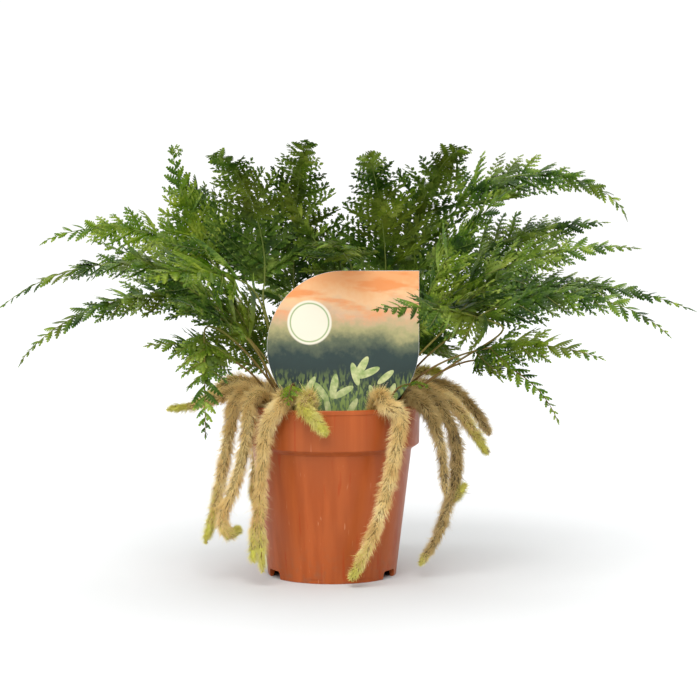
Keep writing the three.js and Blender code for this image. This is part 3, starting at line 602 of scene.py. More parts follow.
# From the foot of the card to its top
PRINT_COLOURS = [
    (0.0, (0.13, 0.2, 0.07)),
    (0.16, (0.06, 0.1, 0.05)),
    (0.26, (0.012, 0.026, 0.024)),
    (0.44, (0.018, 0.038, 0.034)),
    (0.53, (0.105, 0.125, 0.07)),
    (0.62, (0.36, 0.33, 0.15)),
    (0.72, (0.60, 0.40, 0.25)),
    (0.83, (0.78, 0.47, 0.24)),
    (0.95, (0.76, 0.34, 0.13)),
]
PRINT_DISC = (-22.0, 16.0)
PRINT_PALE, PRINT_RING = (0.78, 0.72, 0.58), (0.22, 0.34, 0.12)
PRINT_DISC_RINGS = [(15.0, PRINT_PALE), (13.4, PRINT_RING), (12.6, PRINT_PALE)]
PRINT_STREAKS, PRINT_GRASS = (0.74, 0.24, 0.06), (0.22, 0.30, 0.07)
# Centre, half-length, half-width and turn in degrees
PRINT_LEAVES = [
    (12, -14, 9.0, 2.7, 60), (17, -17, 8.0, 2.5, 25), (8, -18, 8.0, 2.5, 105),
    (28, -20, 7.0, 2.2, 40), (-6, -26, 8.5, 2.6, 80), (0, -30, 8.0, 2.4, 30),
    (-14, -30, 8.0, 2.4, 125), (-22, -26, 7.5, 2.2, 60), (20, -32, 7.5, 2.2, 110),
    (6, -40, 7.0, 2.2, 60), (-10, -40, 7.0, 2.0, 100), (32, -30, 6.5, 2.0, 70),
]


def ellipse_mask(paint, x, z, half_length, half_width, turned=0):
    """1 inside an ellipse on the card, given in mm from the card's centre, 0 outside."""
    middle = LABEL_CENTRE * (1, 0, 1) + (x, 0, z)
    inputs = {
        "Vector": paint.place,
        "Location": middle * MM,
        "Rotation": (0, -math.radians(turned), 0),
        "Scale": (half_length * MM, 1.0, half_width * MM),
    }
    local = paint.node("ShaderNodeMapping", inputs, vector_type="TEXTURE").outputs["Vector"]
    far = paint.node("ShaderNodeVectorMath", {0: local}, operation="LENGTH").outputs["Value"]
    return paint.ramp(far, [(0.94, 1.0), (1.0, 0.0)])


def print_level(paint, grain):
    """0 at the foot of the card and 1 at its top, with soft waves and fine ripples."""
    height = paint.math("SUBTRACT", paint.axis("Z"), LABEL_CENTRE[2] * MM)
    height = paint.times(height, 1 / (LABEL_RADIUS * MM))
    level = paint.math("ADD", height, paint.wobble(paint.noise(26, 4), 0.55))
    level = paint.math("ADD", level, paint.wobble(grain, 0.22))
    return paint.math("ADD", paint.times(level, 0.5), 0.5)


def print_paint():
    """A generic watercolour: an orange sky, soft hills, a dark bank and pale leaves below it."""
    paint = Paint("card_print", Roughness=0.42, Specular_IOR_Level=0.4)
    grain = paint.noise(3.5, 4)
    level = print_level(paint, grain)
    colour = paint.ramp(level, PRINT_COLOURS)
    streaks = paint.rise(paint.noise(11, 4, paint.stretched((0.4, 1, 1.5))), 0.46, 0.6, 0.8)
    colour = paint.mix(paint.times(streaks, paint.rise(level, 0.66, 0.8)), colour, PRINT_STREAKS)
    blades = paint.rise(paint.noise(1.5, 3, paint.stretched((1, 1, 0.3))), 0.46, 0.56, 0.85)
    bank = paint.ramp(level, [(0.2, 1.0), (0.36, 0.0)])
    colour = paint.mix(paint.times(blades, bank), colour, PRINT_GRASS)
    shade = paint.ramp(grain, [(0.35, (0.26, 0.35, 0.11)), (0.65, (0.56, 0.58, 0.28))])
    for leaf in PRINT_LEAVES:
        colour = paint.mix(ellipse_mask(paint, *leaf), colour, shade)
    for radius, tint in PRINT_DISC_RINGS:
        colour = paint.mix(ellipse_mask(paint, *PRINT_DISC, radius, radius), colour, tint)
    return paint.set(Base_Color=colour)


# ---- Camera, floor and lights ----


def make_camera():
    data = bpy.data.cameras.new("camera")
    data.lens = CAMERA_LENS
    data.clip_end = 50
    camera = placed("camera", data)
    camera.location = Vector(CAMERA_PLACE) * MM
    camera.rotation_euler = (math.radians(90 - CAMERA_PITCH), 0, 0)
    bpy.context.scene.camera = camera


def make_floor():
    mesh = bpy.data.meshes.new("floor")
    half = FLOOR_HALF_SIDE * MM
    corners = [(half * x, half * y, 0) for x, y in ((-1, -1), (1, -1), (1, 1), (-1, 1))]
    mesh.from_pydata(corners, [], [(0, 1, 2, 3)])
    mesh.materials.append(floor_paint())
    floor = placed("floor", mesh)


def make_surroundings():
    """A white world whose brightness follows a curve over the sine of the elevation."""
    world = bpy.data.worlds.new("studio")
    world.use_nodes = True
    tree = world.node_tree
    direction = add_node(tree, "ShaderNodeTexCoord").outputs["Generated"]
    sine = add_node(tree, "ShaderNodeSeparateXYZ", {"Vector": direction}).outputs["Z"]
    brightest = max(bright for _, bright in SURROUNDINGS)
    curved = add_node(tree, "ShaderNodeFloatCurve", {"Value": sine})
    points = curved.mapping.curves[0].points
    while len(points) < len(SURROUNDINGS):
        points.new(0.5, 0.5)
    for point, (place, bright) in zip(points, SURROUNDINGS):
        point.location = (place, bright / brightest)
        point.handle_type = "VECTOR"
    curved.mapping.update()
    factors = {0: curved.outputs["Value"], 1: brightest}
    scaled = add_node(tree, "ShaderNodeMath", factors, operation="MULTIPLY")
    background = tree.nodes["Background"]
    background.inputs["Color"].default_value = (1, 1, 1, 1)
    tree.links.new(scaled.outputs["Value"], background.inputs["Strength"])
    bpy.context.scene.world = world


def make_lights():
    bpy.context.scene.view_settings.view_transform = "Standard"
    for name, source, strength, width in SOFT_LIGHTS:
        data = bpy.data.lights.new(name, "SUN")
        data.energy = strength
        data.angle = math.radians(width)
        light = placed(name, data)
        light.rotation_euler = Vector(source).to_track_quat("Z", "Y").to_euler()


# ---- Pot ----


def rounded(profile, radius, steps=4):
    """The profile's corners away from the axis, cut back by up to a radius and rounded."""
    points = [np.array(p, float) for p in profile]
    smooth = [points[0]]
    for before, corner, after in zip(points, points[1:], points[2:]):
        back, ahead = before - corner, after - corner
        cut = min(radius, 0.45 * np.linalg.norm(back), 0.45 * np.linalg.norm(ahead))
        start, end = corner + unit(back) * cut, corner + unit(ahead) * cut
        for i in range(steps + 1):
            w = i / steps
            smooth.append(start * (1 - w) ** 2 + corner * 2 * w * (1 - w) + end * w**2)
    return smooth + [points[-1]]


def pot_profile():
    """(radius, height) from the axis under the pad, out and up the wall, and back down inside."""
    foot, lip = BASE_RADIUS - FOOT_WIDTH, POT_HEIGHT - LIP_HEIGHT
    outside = [
        (0, 0), (PAD_RADIUS, 0), (PAD_RADIUS + PAD_DRAFT, FLOOR_UNDERSIDE),
        (foot - FOOT_DRAFT, FLOOR_UNDERSIDE), (foot, 0), (BASE_RADIUS, 0),
        (SHOULDER_RADIUS, BAND_BOTTOM - BAND_CHAMFER), (BAND_RADIUS - SOFT_EDGE, BAND_BOTTOM),
        (BAND_RADIUS, lip - SOFT_EDGE), (RIM_RADIUS, lip), (RIM_RADIUS, POT_HEIGHT),
    ]
    above, below = (BAND_BOTTOM + step for step in INNER_SHOULDER)
    well = PAD_RADIUS - PAD_WALL
    inside = [
        (RIM_RADIUS - WALL, POT_HEIGHT), (RIM_RADIUS - WALL - WALL_DRAFT, above),
        (SHOULDER_RADIUS - WALL, below), (BASE_RADIUS - WALL + WALL_DRAFT, FLOOR_TOP),
        (well, FLOOR_TOP), (well - PAD_DRAFT, PAD_FLOOR), (0, PAD_FLOOR),
    ]
    return rounded(outside + inside, EDGE_RADIUS)


def lathe(profile, sides):
    """A closed bmesh turned about Z from a profile that starts and ends on the axis."""
    body = bmesh.new()
    circle = [(math.cos(a), math.sin(a)) for a in 2 * math.pi * np.arange(sides) / sides]
    rings = [
        [body.verts.new((radius * x, radius * y, height)) for x, y in circle]
        for radius, height in profile[1:-1]
    ]
    low = body.verts.new((0, 0, profile[0][1]))
    high = body.verts.new((0, 0, profile[-1][1]))
    for j in range(sides):
        k = (j + 1) % sides
        body.faces.new((rings[0][k], rings[0][j], low))
        body.faces.new((rings[-1][j], rings[-1][k], high))
        for ring, upper in zip(rings, rings[1:]):
            body.faces.new((ring[j], ring[k], upper[k], upper[j]))
    return body


def foot_cut(width, height, corner, depth, azimuth):
    """A block with rounded upper corners that stands in the foot of the wall."""
    outline = [(-width / 2, -1), (width / 2, -1)]
    for start, x in ((0, width / 2 - corner), (90, -width / 2 + corner)):
        for i in range(7):
            angle = math.radians(start + 15 * i)
            z = height - corner + corner * math.sin(angle)
            outline.append((x + corner * math.cos(angle), z))
    inner = BASE_RADIUS - depth
    cutter = bmesh.new()
    face = cutter.faces.new([cutter.verts.new((x, inner, z)) for x, z in outline])
    grown = bmesh.ops.extrude_face_region(cutter, geom=[face])["geom"]
    corners = [v for v in grown if isinstance(v, bmesh.types.BMVert)]
    bmesh.ops.translate(cutter, vec=(0, CUT_LENGTH, 0), verts=corners)
    turned = Matrix.Rotation(math.radians(azimuth - 90), 3, "Z")
    bmesh.ops.rotate(cutter, matrix=turned, verts=cutter.verts)
    bmesh.ops.recalc_face_normals(cutter, faces=cutter.faces)
    return cutter


def drain_cut(index):
    count, radius, ring, height = DRAIN_HOLES.values()
    cutter = bmesh.new()
    bmesh.ops.create_cone(
        cutter, cap_ends=True, segments=32, radius1=radius, radius2=radius, depth=height
    )
    place = on_ring(360 * (index + 0.5) / count, ring, height / 4)
    bmesh.ops.translate(cutter, vec=place, verts=cutter.verts)
    return cutter


def mesh_object(name, body):
    bmesh.ops.scale(body, vec=(MM, MM, MM), verts=body.verts)
    mesh = bpy.data.meshes.new(name)
    body.to_mesh(mesh)
    body.free()
    return placed(name, mesh)


def cut_out(thing, tool):
    """The thing's mesh with the tool taken out of it."""
    modifier = thing.modifiers.new("cut", "BOOLEAN")
    modifier.object = tool
    modifier.solver = "EXACT"
    cut_thing = thing.evaluated_get(bpy.context.evaluated_depsgraph_get())
    mesh = bpy.data.meshes.new_from_object(cut_thing)
    thing.modifiers.clear()
    thing.data = mesh
    bpy.data.objects.remove(tool)


def make_pot():
    cutters = [drain_cut(i) for i in range(DRAIN_HOLES["count"])]
    for cuts in (FOOT_NOTCHES, FOOT_RECESSES):
        size = [cuts[key] for key in ("width", "height", "corner", "depth")]
        cutters += [foot_cut(*size, azimuth) for azimuth in cuts["azimuths"]]
    pot = mesh_object("pot_turned", lathe(pot_profile(), POT_SIDES))
    for cutter in cutters:
        cut_out(pot, mesh_object("cutter", cutter))
    mesh = pot.data
    bpy.data.objects.remove(pot)
    mesh.materials.clear()
    mesh.materials.append(pot_paint())
    stand_for(shown("pot_moulded", mesh, 35), "pot")


# ---- Soil ----


def make_soil(paint):
    """Crumbs of peat over the flat top of the CAD's soil, which keeps its place under them."""
    node = bpy.context.scene.objects["soil"]
    node.material_slots[0].material = paint
    rng = np.random.default_rng(11)
    soup = Soup()
    ball = bmesh.new()
    bmesh.ops.create_icosphere(ball, subdivisions=1, radius=1)
    shape = np.array([v.co for v in ball.verts])
    faces = np.array([[v.index for v in f.verts] for f in ball.faces])
    ball.free()
    radius = SOIL_RADIUS * np.sqrt(rng.random(CRUMBS))
    angle = 2 * math.pi * rng.random(CRUMBS)
    size = CRUMB_SIZE[0] + CRUMB_SIZE[1] * rng.random(CRUMBS) ** 2.2
    radius = np.minimum(radius, SOIL_RADIUS - size)
    height = SOIL_TOP + CRUMB_RISE * size
    centre = np.stack([radius * np.cos(angle), radius * np.sin(angle), height], axis=-1)
    lumps = shape[None] * (0.75 + 0.5 * rng.random((CRUMBS, len(shape), 1))) * size[:, None, None]
    soup.add_copies(centre[:, None] + lumps, faces, np.zeros(len(faces), int))
    crumbs = soup.piece("soil_crumbs", [paint], 40)
    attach(crumbs, "root")


# ---- Label ----


def label_outline(inset):
    """The card's outline round its own centre: three round quarters, a square corner, the stake."""
    radius, half = LABEL_RADIUS - inset, STAKE_WIDTH / 2 - inset
    foot = STAKE_FOOT - LABEL_CENTRE[2] + inset
    turn_in = math.acos(half / radius)
    right = np.linspace(-turn_in, 0, 48)
    left = np.linspace(math.pi / 2, math.pi + turn_in, 96)
    points = [(-half, foot), (half, foot)]
    points += [(radius * math.cos(a), radius * math.sin(a)) for a in right]
    points += [(radius, radius)]
    points += [(radius * math.cos(a), radius * math.sin(a)) for a in left]
    return points


def make_label():
    """A flat card with softly broken edges, printed on the front."""
    body = bmesh.new()
    half = LABEL_THICKNESS / 2
    inner = half - CARD_EDGE
    rings = []
    for inset, y in ((CARD_EDGE, -half), (0, -inner), (0, inner), (CARD_EDGE, half)):
        centre = LABEL_CENTRE + (0, y, 0)
        rings.append([body.verts.new(centre + (x, 0, z)) for x, z in label_outline(inset)])
    count = len(rings[0])
    front = body.faces.new(rings[0])
    body.faces.new(rings[-1][::-1])
    for ring, deeper in zip(rings, rings[1:]):
        for j in range(count):
            k = (j + 1) % count
            body.faces.new((ring[j], deeper[j], deeper[k], ring[k]))
    for face in body.faces:
        face.material_index = 1
    front.material_index = 0
    bmesh.ops.triangulate(body, faces=[f for f in body.faces if len(f.verts) > 4])
    bmesh.ops.recalc_face_normals(body, faces=body.faces)
    card = mesh_object("label_card", body)
    mesh = card.data
    bpy.data.objects.remove(card)
    for paint in (print_paint(), card_paint()):
        mesh.materials.append(paint)
    stand_for(shown("label_card", mesh, 30), "label")


# ---- Rhizomes ----


def rhizome_points(azimuth, points):
    """From the soil, up the inside of the rim, over it and on through its own points."""
    start = [
        on_ring(azimuth, ROOT_RING, RHIZOME_FOOT),
        on_ring(azimuth, ROOT_RING + 2, POT_HEIGHT - 2),
        on_ring(azimuth, RIM_RADIUS - 2, POT_HEIGHT + 8),
    ]
    if points[0][2] < POT_HEIGHT:
        start.append(on_ring(azimuth, RIM_RADIUS + 7.5, POT_HEIGHT + 3))
    return start + points


def rhizome_radius(full, t):
    """As in the CAD: slim where it leaves the soil, and slimmer again towards its tip."""
    swell = 0.66 + 0.34 * np.minimum(t / 0.2, 1)
    return full * swell * (1 - 0.55 * np.maximum(0, (t - 0.35) / 0.65) ** 1.3)


def branch_radius(full, t):
    return full * (0.6 - 0.2 * t)


class Core:
    """The middle of a furry run: its path with frames and radii, and where it turns young."""

    def __init__(self, path, frames, radii, full, young):
        self.path, self.radii = path, radii
        self.tangents, self.normals, self.others = frames
        self.full, self.young = full, young
        self.last = len(path) - 1.001
        self.step = np.linalg.norm(path[1] - path[0])

    def spikes(self, place, angle, lean, share):
        """Where spikes leave the core, their directions away from it and their ends."""
        i = place.astype(int)
        w = (place - i)[:, None]

        def here(rows):
            return rows[i] * (1 - w) + rows[i + 1] * w

        out = here(self.normals) * np.cos(angle)[:, None] + here(self.others) * np.sin(angle)[:, None]
        reach = here(self.radii[:, None])
        way = unit(here(self.tangents)) * np.cos(lean)[:, None] + out * np.sin(lean)[:, None]
        base = here(self.path) + out * (HAIR_ROOT * CORE_SHARE * reach)
        return base, out, base + way * (share[:, None] * (self.full + reach) / 2)


def tufted_hairs(rng, core, count):
    """For each hair its base, its direction away from the core, its end and its share of the run."""
    spread, inner = TUFT_SPREAD, SPREAD_IN_TUFT
    tufts = max(count // HAIRS_PER_TUFT, 1)
    places = core.last * rng.random(tufts)
    angles = 2 * math.pi * rng.random(tufts)
    leans = np.radians(HAIR_LEAN + spread["lean"] * rng.standard_normal(tufts))
    shares = spread["mean_share"] + spread["share"] * rng.standard_normal(tufts).clip(-2, 2)
    tuft_ends = core.spikes(places, angles, leans, shares)[2]
    tuft = rng.integers(tufts, size=count)
    place = places[tuft] + inner["place"] / core.step * rng.standard_normal(count)
    place = place.clip(0, core.last)
    angle = angles[tuft] + inner["angle"] * rng.standard_normal(count)
    lean = leans[tuft] + np.radians(inner["lean"]) * rng.standard_normal(count)
    t = place / core.last
    share = (shares[tuft] + inner["share"] * rng.standard_normal(count)).clip(*HAIR_LENGTHS)
    guard = rng.random(count) < GUARD_HAIRS[0]
    shorter = TIP_HAIRS[1] * np.clip((t - TIP_HAIRS[0]) / (1 - TIP_HAIRS[0]), 0, 1)
    share = np.where(guard, GUARD_HAIRS[1], 1.0) * share * (1 - shorter)
    base, out, ends = core.spikes(place, angle, lean, share)
    drawn = (t < TUFTS_END) & ~guard
    return base, out, ends + TUFT_PULL * (tuft_ends[tuft] - ends) * drawn[:, None], t


def hairs(soup, rng, core, count):
    """Spikes that stand out of a core and lean towards its tip, drawn together into tufts."""
    base, out, ends, t = tufted_hairs(rng, core, count)
    way = unit(ends - base)
    side = unit(np.cross(way, out))
    over = np.cross(side, way)
    fade = TIP_FADE * (1 - core.young) * rng.random(count) ** 2
    kinds = np.where(t > core.young - fade, YOUNG_FUR_PAINT, FUR_PAINT)
    kinds[rng.random(count) < SCALES[0]] = SCALE_PAINT
    width = HAIR_WIDTH * (0.6 + 0.6 * rng.random(count))
    width = width * np.where(kinds == SCALE_PAINT, SCALES[1], 1.0)
    across, thick = side * width[:, None] / 2, over * width[:, None] * HAIR_THICKNESS
    corners = np.stack([base - across, base + across, base + thick, ends], axis=1)
    faces = np.array([[0, 2, 1], [0, 1, 3], [1, 2, 3], [2, 0, 3]])
    for kind in np.unique(kinds):
        soup.add_copies(corners[kinds == kind], faces, np.full(len(faces), kind))


def furry_run(soup, rng, points, radius_at, full, young_length):
    """One core with its hairs."""
    knots = np.array(points, float)
    rough_length = np.linalg.norm(np.diff(knots, axis=0), axis=1).sum()
    young = 1 - min(young_length / rough_length, 0.5)
    steps = int(rough_length / RHIZOME_STEP)
    t = np.linspace(0, 1, steps)
    path = catmull_rom(knots, t)
    radii = radius_at(full, t)
    close = np.sqrt(np.clip((1.0 - t) / CLOSING, 0.02, 1))
    lumps = 1 + CORE_LUMPS * rng.standard_normal((steps, CORE_SIDES))
    paints = np.where(t[:-1] > young, TIP_PAINT, CORE_PAINT)
    frames = tube(soup, path, radii * CORE_SHARE * close, CORE_SIDES, paints, lumps)
    area = 2 * math.pi * CORE_SHARE * radii.mean() * rough_length
    core = Core(path, frames, radii * close, full, young)
    hairs(soup, rng, core, int(area * HAIRS_PER_MM2))


def make_rhizomes():
    paints = {name: fur_paint(name, *looks) for name, looks in FURS.items()}
    paints |= {name: core_paint(name, *looks) for name, looks in CORES.items()}
    for index, (name, azimuth, radius, points, *branches) in enumerate(RHIZOMES):
        rng = np.random.default_rng(500 + index)
        soup = Soup()
        green = OTHER_TIPS.get(name, YOUNG_LENGTH)
        furry_run(soup, rng, rhizome_points(azimuth, points), rhizome_radius, radius, green)
        for branch in branches:
            furry_run(soup, rng, branch, branch_radius, radius, YOUNG_LENGTH)
        kinds = BROWN_PAINTS if name in BROWN_RHIZOMES else CREAM_PAINTS
        piece = soup.piece(f"rhizome_{name}_furry", [paints[kind] for kind in kinds], 60)
        stand_for(piece, f"rhizome_{name}")


# ---- Leaflets ----

LEAFLET_BODY = 0.42  # where along a leaflet it is widest
LEAFLET_FOOT = 0.16  # half-width at its base
NOTCH = 0.36  # the share of a leaflet's half-width that its notches leave
FIRST_TEETH = 0.1  # how far along a leaflet its teeth begin
NEAR_TIP = 0.985
TEETH = [(4.0, 2), (8.0, 3), (13.0, 5), (math.inf, 7)]  # up to a length in mm, teeth on each side
TOOTH = ((0.45, 0.84), (1.12, 1.1))  # share of the way to the next tooth, share of the half-width
CREASE, SAG = 0.035, 0.05  # half the thickness at the midrib, and how far the edges hang
LEAFLET_TWIST, LEAFLET_PITCH = 8.0, 6.0  # degrees, at random
LEAFLET_DROOP = (0.06, 0.16)  # the least and how much more, as a share of the length
LEAN = 0.22  # how much wider the wider side is
UPPER, LOWER, TIP = 0, 1, 2


def leaflet_width(x):
    """Half-width of a leaflet: a wedge at its base and a taper to its point."""
    wedge = 0.2 + 0.8 * min(x / LEAFLET_BODY, 1.0)
    taper = (max(1 - x, 0) / (1 - LEAFLET_BODY)) ** 0.62
    return min(wedge, taper)


def tooth_points(x, after):
    """(along, across) of the notch at x and of the tooth that points to the next notch."""
    points = [(x, LEAFLET_FOOT if x == 0 else NOTCH * leaflet_width(x))]
    for share, fullness in TOOTH:
        way = share * (after - x)
        width = fullness * leaflet_width(min(x + 0.7 * way, NEAR_TIP))
        points.append((min(x + way, NEAR_TIP), width))
    return points


def leaflet(teeth):
    """A closed lens-shaped leaflet from 0 to 1 along x whose teeth point to its tip.

    Returns its points as (along, across, rise) with the widest place at 1 across, its
    triangles, and a part for each triangle: UPPER or LOWER, and TIP more in the last tooth.
    """
    edges = np.concatenate([[0.0], np.linspace(FIRST_TEETH, 1.0, teeth + 1)[1:]])
    outline = [tooth_points(x, after) for x, after in zip(edges, edges[1:])]
    points, faces, parts = [], [], []

    def put(x, y, z):
        points.append((x, y, z))
        return len(points) - 1

    midrib = [(x, CREASE * math.sin(math.pi * min(x + 0.12, 1.0))) for x in edges[:-1]]
    upper = [put(x, 0, z) for x, z in midrib]
    lower = [put(x, 0, -z) for x, z in midrib]
    apex = put(1, 0, 0)
    ridges = ([*upper, apex], UPPER), ([*lower, apex], LOWER)
    for hand in (1, -1):
        rows = [[put(x, hand * y, -SAG * y) for x, y in tooth] for tooth in outline]
        notches = [row[0] for row in rows] + [apex]
        for i, row in enumerate(rows):
            for ridge, part in ridges:
                ring = [*row, notches[i + 1], ridge[i + 1]]
                fan = [(ridge[i], a, b) for a, b in zip(ring, ring[1:]) if a != b]
                flip = (hand > 0) == (part == LOWER)
                faces += [(a, c, b) if flip else (a, b, c) for a, b, c in fan]
                parts += [part + TIP * (i + 1 == teeth)] * len(fan)
        foot = (upper[0], lower[0]) if hand > 0 else (lower[0], upper[0])
        faces.append((*foot, notches[0]))
        parts.append(LOWER)
    return np.array(points), np.array(faces), np.array(parts)


LEAFLETS = {teeth: leaflet(teeth) for _, teeth in TEETH}


def teeth_for(length):
    """How many teeth leaflets of these lengths have on each side."""
    return np.select([length < longest for longest, _ in TEETH], [teeth for _, teeth in TEETH])


class Foliage:
    """Places of leaflets, gathered before they are drawn all at once."""

    def __init__(self):
        self.rows = []

    def add(self, origin, axis, normal, length, half_width, lean, tone):
        """Leaflets of one tone. Lean is above 0 where the left of the axis is the wider side."""
        lean, tone = (np.full(len(length), value) for value in (lean, tone))
        self.rows.append([origin, axis, normal, length, half_width, lean, tone])

    def draw(self, soup, rng):
        rows = (np.concatenate(rows) for rows in zip(*self.rows))
        origin, axis, normal, length, half_width, lean, tones = rows
        count = len(length)
        across = unit(np.cross(normal, axis))
        normal = np.cross(axis, across)
        twist = np.radians(LEAFLET_TWIST) * rng.standard_normal(count)
        across, normal = turn(across, axis, twist), turn(normal, axis, twist)
        pitch = np.radians(LEAFLET_PITCH) * rng.standard_normal(count)
        axis, normal = turn(axis, across, pitch), turn(normal, across, pitch)
        droop = LEAFLET_DROOP[0] + LEAFLET_DROOP[1] * rng.random(count)
        teeth = teeth_for(length)
        for (kind, (points, faces, parts)), tone in itertools.product(LEAFLETS.items(), range(UNDER)):
            chosen = (teeth == kind) & (tones == tone)
            if not chosen.any():
                continue
            x, y, z = points.T
            size = length[chosen][:, None]
            wide = half_width[chosen][:, None] * (1 + LEAN * lean[chosen][:, None] * np.sign(y))
            rise = size * (z - droop[chosen][:, None] * x**2)
            spots = (
                origin[chosen][:, None]
                + axis[chosen][:, None] * (size * x)[..., None]
                + across[chosen][:, None] * (wide * y)[..., None]
                + normal[chosen][:, None] * rise[..., None]
            )
            soup.add_copies(spots, faces, np.array(PART_TONES[tone])[parts])


# ---- Fronds ----


def along(fraction):
    """Pinnae are widely spaced at the base of the blade and crowd towards its tip."""
    return fraction + 0.3 * fraction * (1 - fraction)


def pinna_places(hand, pairs):
    """Where along the blade the pinnae of one side stand; the two sides alternate."""
    first = 0.3 if hand > 0 else 0.75
    return [float(along((k + first) / (pairs + 0.35))) for k in range(pairs)]


class Frond:
    """The stipe's and the blade's curves, and the frames along them, as in the CAD."""

    def __init__(self, root, crown, tip, arch, roll):
        start = np.array([*root, STIPE_FOOT], float)
        neck, end = np.array(crown, float), np.array(tip, float)
        chord = end - neck
        self.across = unit(np.cross(np.array([chord[0], chord[1], 0]), UP))
        rise = math.radians(arch)
        leave, arrive = (turn(chord, self.across, np.array(a)) for a in (rise, -rise))
        reach = neck - start
        length = np.linalg.norm(reach)
        steep = (unit(reach) + UP) * 0.225 * length
        back = leave * length / np.linalg.norm(chord) / 4
        self.stipe = (start, start + steep, neck - back, neck)
        self.blade = (neck, neck + leave / 3, end - arrive / 3, end)
        self.roll = math.radians(roll)
        points, _ = bezier(self.blade, np.linspace(0, 1, 101))
        self.length = np.linalg.norm(np.diff(points, axis=0), axis=1).sum()

    def frames(self, t):
        """Points, tangents, sides and normals of the blade at each t."""
        points, tangents = bezier(self.blade, t)
        sides = unit(self.across - tangents * (tangents @ self.across)[:, None])
        sides = turn(sides, tangents, np.full(len(tangents), self.roll))
        return points, tangents, sides, np.cross(sides, tangents)


class Pinna:
    """The plane and the rib of one pinna, given by the CAD's rules."""

    def __init__(self, frond, hand, t, width, bend):
        lift, stretch = math.radians(bend[0]), bend[1]
        point, tangent, side, normal = (rows[0] for rows in frond.frames(np.array([t])))
        ascent = math.radians(32 + 16 * t)
        outward = side * hand * math.cos(lift) + normal * math.sin(lift)
        self.hand = hand
        self.point = point
        cos, sin = math.cos(ascent), math.sin(ascent)
        self.out = outward * cos + tangent * sin
        self.forward = tangent * cos - outward * sin
        self.normal = np.cross(self.out, self.forward) * hand
        self.reach = (1.5 + width * max(1 - t, 0) ** 1.1) * stretch

    def twist(self, angle):
        """Turns the blade about its rib, its forward edge up."""
        both = np.array([self.forward, self.normal])
        self.forward, self.normal = turn(both, self.out, np.full(2, angle * self.hand))

    def rib(self, v):
        """Points and unit tangents along the rib, which bends forward and droops."""
        v = np.asarray(v, float)[:, None]
        bend = 0.08 * self.forward - 0.1 * self.normal
        points = self.point + self.out * self.reach * v + bend * self.reach * v**2
        return points, unit(self.out + 2 * bend * v)


def cad_vertices(node):
    mesh = bpy.context.scene.objects[node].data
    vertices = np.empty(len(mesh.vertices) * 3)
    mesh.vertices.foreach_get("co", vertices)
    return vertices.reshape(-1, 3) / MM


def cad_bends(frond, node, width, pairs):
    """For each hand, the places of the CAD's pinnae and the bends that they took."""
    vertices = cad_vertices(node)
    tree = KDTree(len(vertices))
    for i, vertex in enumerate(vertices):
        tree.insert(vertex, i)
    tree.balance()

    def taken(hand, t, bend):
        pinna = Pinna(frond, hand, t, width, bend)
        apex = pinna.rib([1.0])[0][0] + CAD_THICKNESS * pinna.normal
        return tree.find(apex)[2] < BEND_FOUND

    found = {}
    for hand in (1, -1):
        places = pinna_places(hand, pairs)
        bends = [next((b for b in BENDS if taken(hand, t, b)), NO_PINNA) for t in places]
        found[hand] = np.column_stack([places, bends])
    return found


def simple_pinna(pinna, gap, tone, foliage):
    """A short pinna is one toothed leaflet."""
    axis = unit(pinna.out + 0.1 * pinna.forward)[None]
    size = np.array([1.05 * pinna.reach + 1.0])
    wide = np.minimum(0.27 * size + 0.3, 0.42 * gap + 0.4)
    foliage.add(pinna.point[None], axis, pinna.normal[None], size, wide, 2.0 * pinna.hand, tone)


def pinnules(pinna, upper, count, longest, tone, foliage, rng):
    """Those of the upper or the lower side of a rib, shorter towards its tip."""
    side = 1 if upper else -1
    k = np.arange(count) + (0.2 if upper else 0.65)
    v = 0.02 + 0.9 * k / (count + 0.4)
    start, direction = pinna.rib(v)
    normal = unit(pinna.normal - direction * (direction @ pinna.normal)[:, None])
    outward = np.cross(normal, direction) * pinna.hand
    angle = np.radians(PINNULE_ANGLE[0] + PINNULE_ANGLE[1] * rng.standard_normal(count))[:, None]
    axis = direction * np.cos(angle) + side * outward * np.sin(angle)
    length = longest * (1 - v) ** 0.7 * PINNULE_SIDES[0 if upper else 1] + 0.9
    longer = FIRST_PINNULES[1] * ((v < FIRST_PINNULES[0]) & upper)
    length = length * (1 + PINNULE_SPREAD * rng.standard_normal(count) + longer)
    wide = PINNULE_WIDTH * length + 0.3
    foliage.add(start, axis, normal, length, wide, -side * pinna.hand, tone)


def wings(pinna, gap, longest, tone, foliage):
    """The narrow wing of the rib, its tip, and two that fill the corners beside the rachis."""
    start, direction = pinna.rib([0.0, 0.84, 0.0, 0.0])
    direction[2] = unit(0.5 * pinna.out + 0.87 * pinna.forward)
    direction[3] = unit(0.6 * pinna.out - 0.8 * pinna.forward)
    size = np.array([0.97 * pinna.reach, 0.14 * pinna.reach + 1.6, 0.75 * gap, 0.5 * gap])
    wide = (0.0, 0.24, 0.24, 0.26) * size + (0.18 * longest + 0.3, 0.2, 0.0, 0.0)
    normal = np.repeat(pinna.normal[None], 4, axis=0)
    foliage.add(start, direction, normal, size, wide, pinna.hand, tone)


def dress_pinna(pinna, gap, tone, foliage, soup, rng):
    """Pinnules alternate along a long pinna's rib; the gap is the room to the next pinna."""
    reach = pinna.reach
    if reach < SIMPLE_PINNA:
        simple_pinna(pinna, gap, tone, foliage)
        return
    points, _ = pinna.rib(np.linspace(0, 0.9, 7))
    tube(soup, points, np.linspace(*RIB_RADIUS, 7) * min(1, 0.5 + reach / 40), 5, STEM)
    longest = min(0.36 * reach, 0.7 * gap) + 1.2
    count = max(round(0.86 * reach / max(0.5 * longest, 1.8)), 3)
    for upper in (True, False):
        pinnules(pinna, upper, count, longest, tone, foliage, rng)
    wings(pinna, gap, longest, tone, foliage)


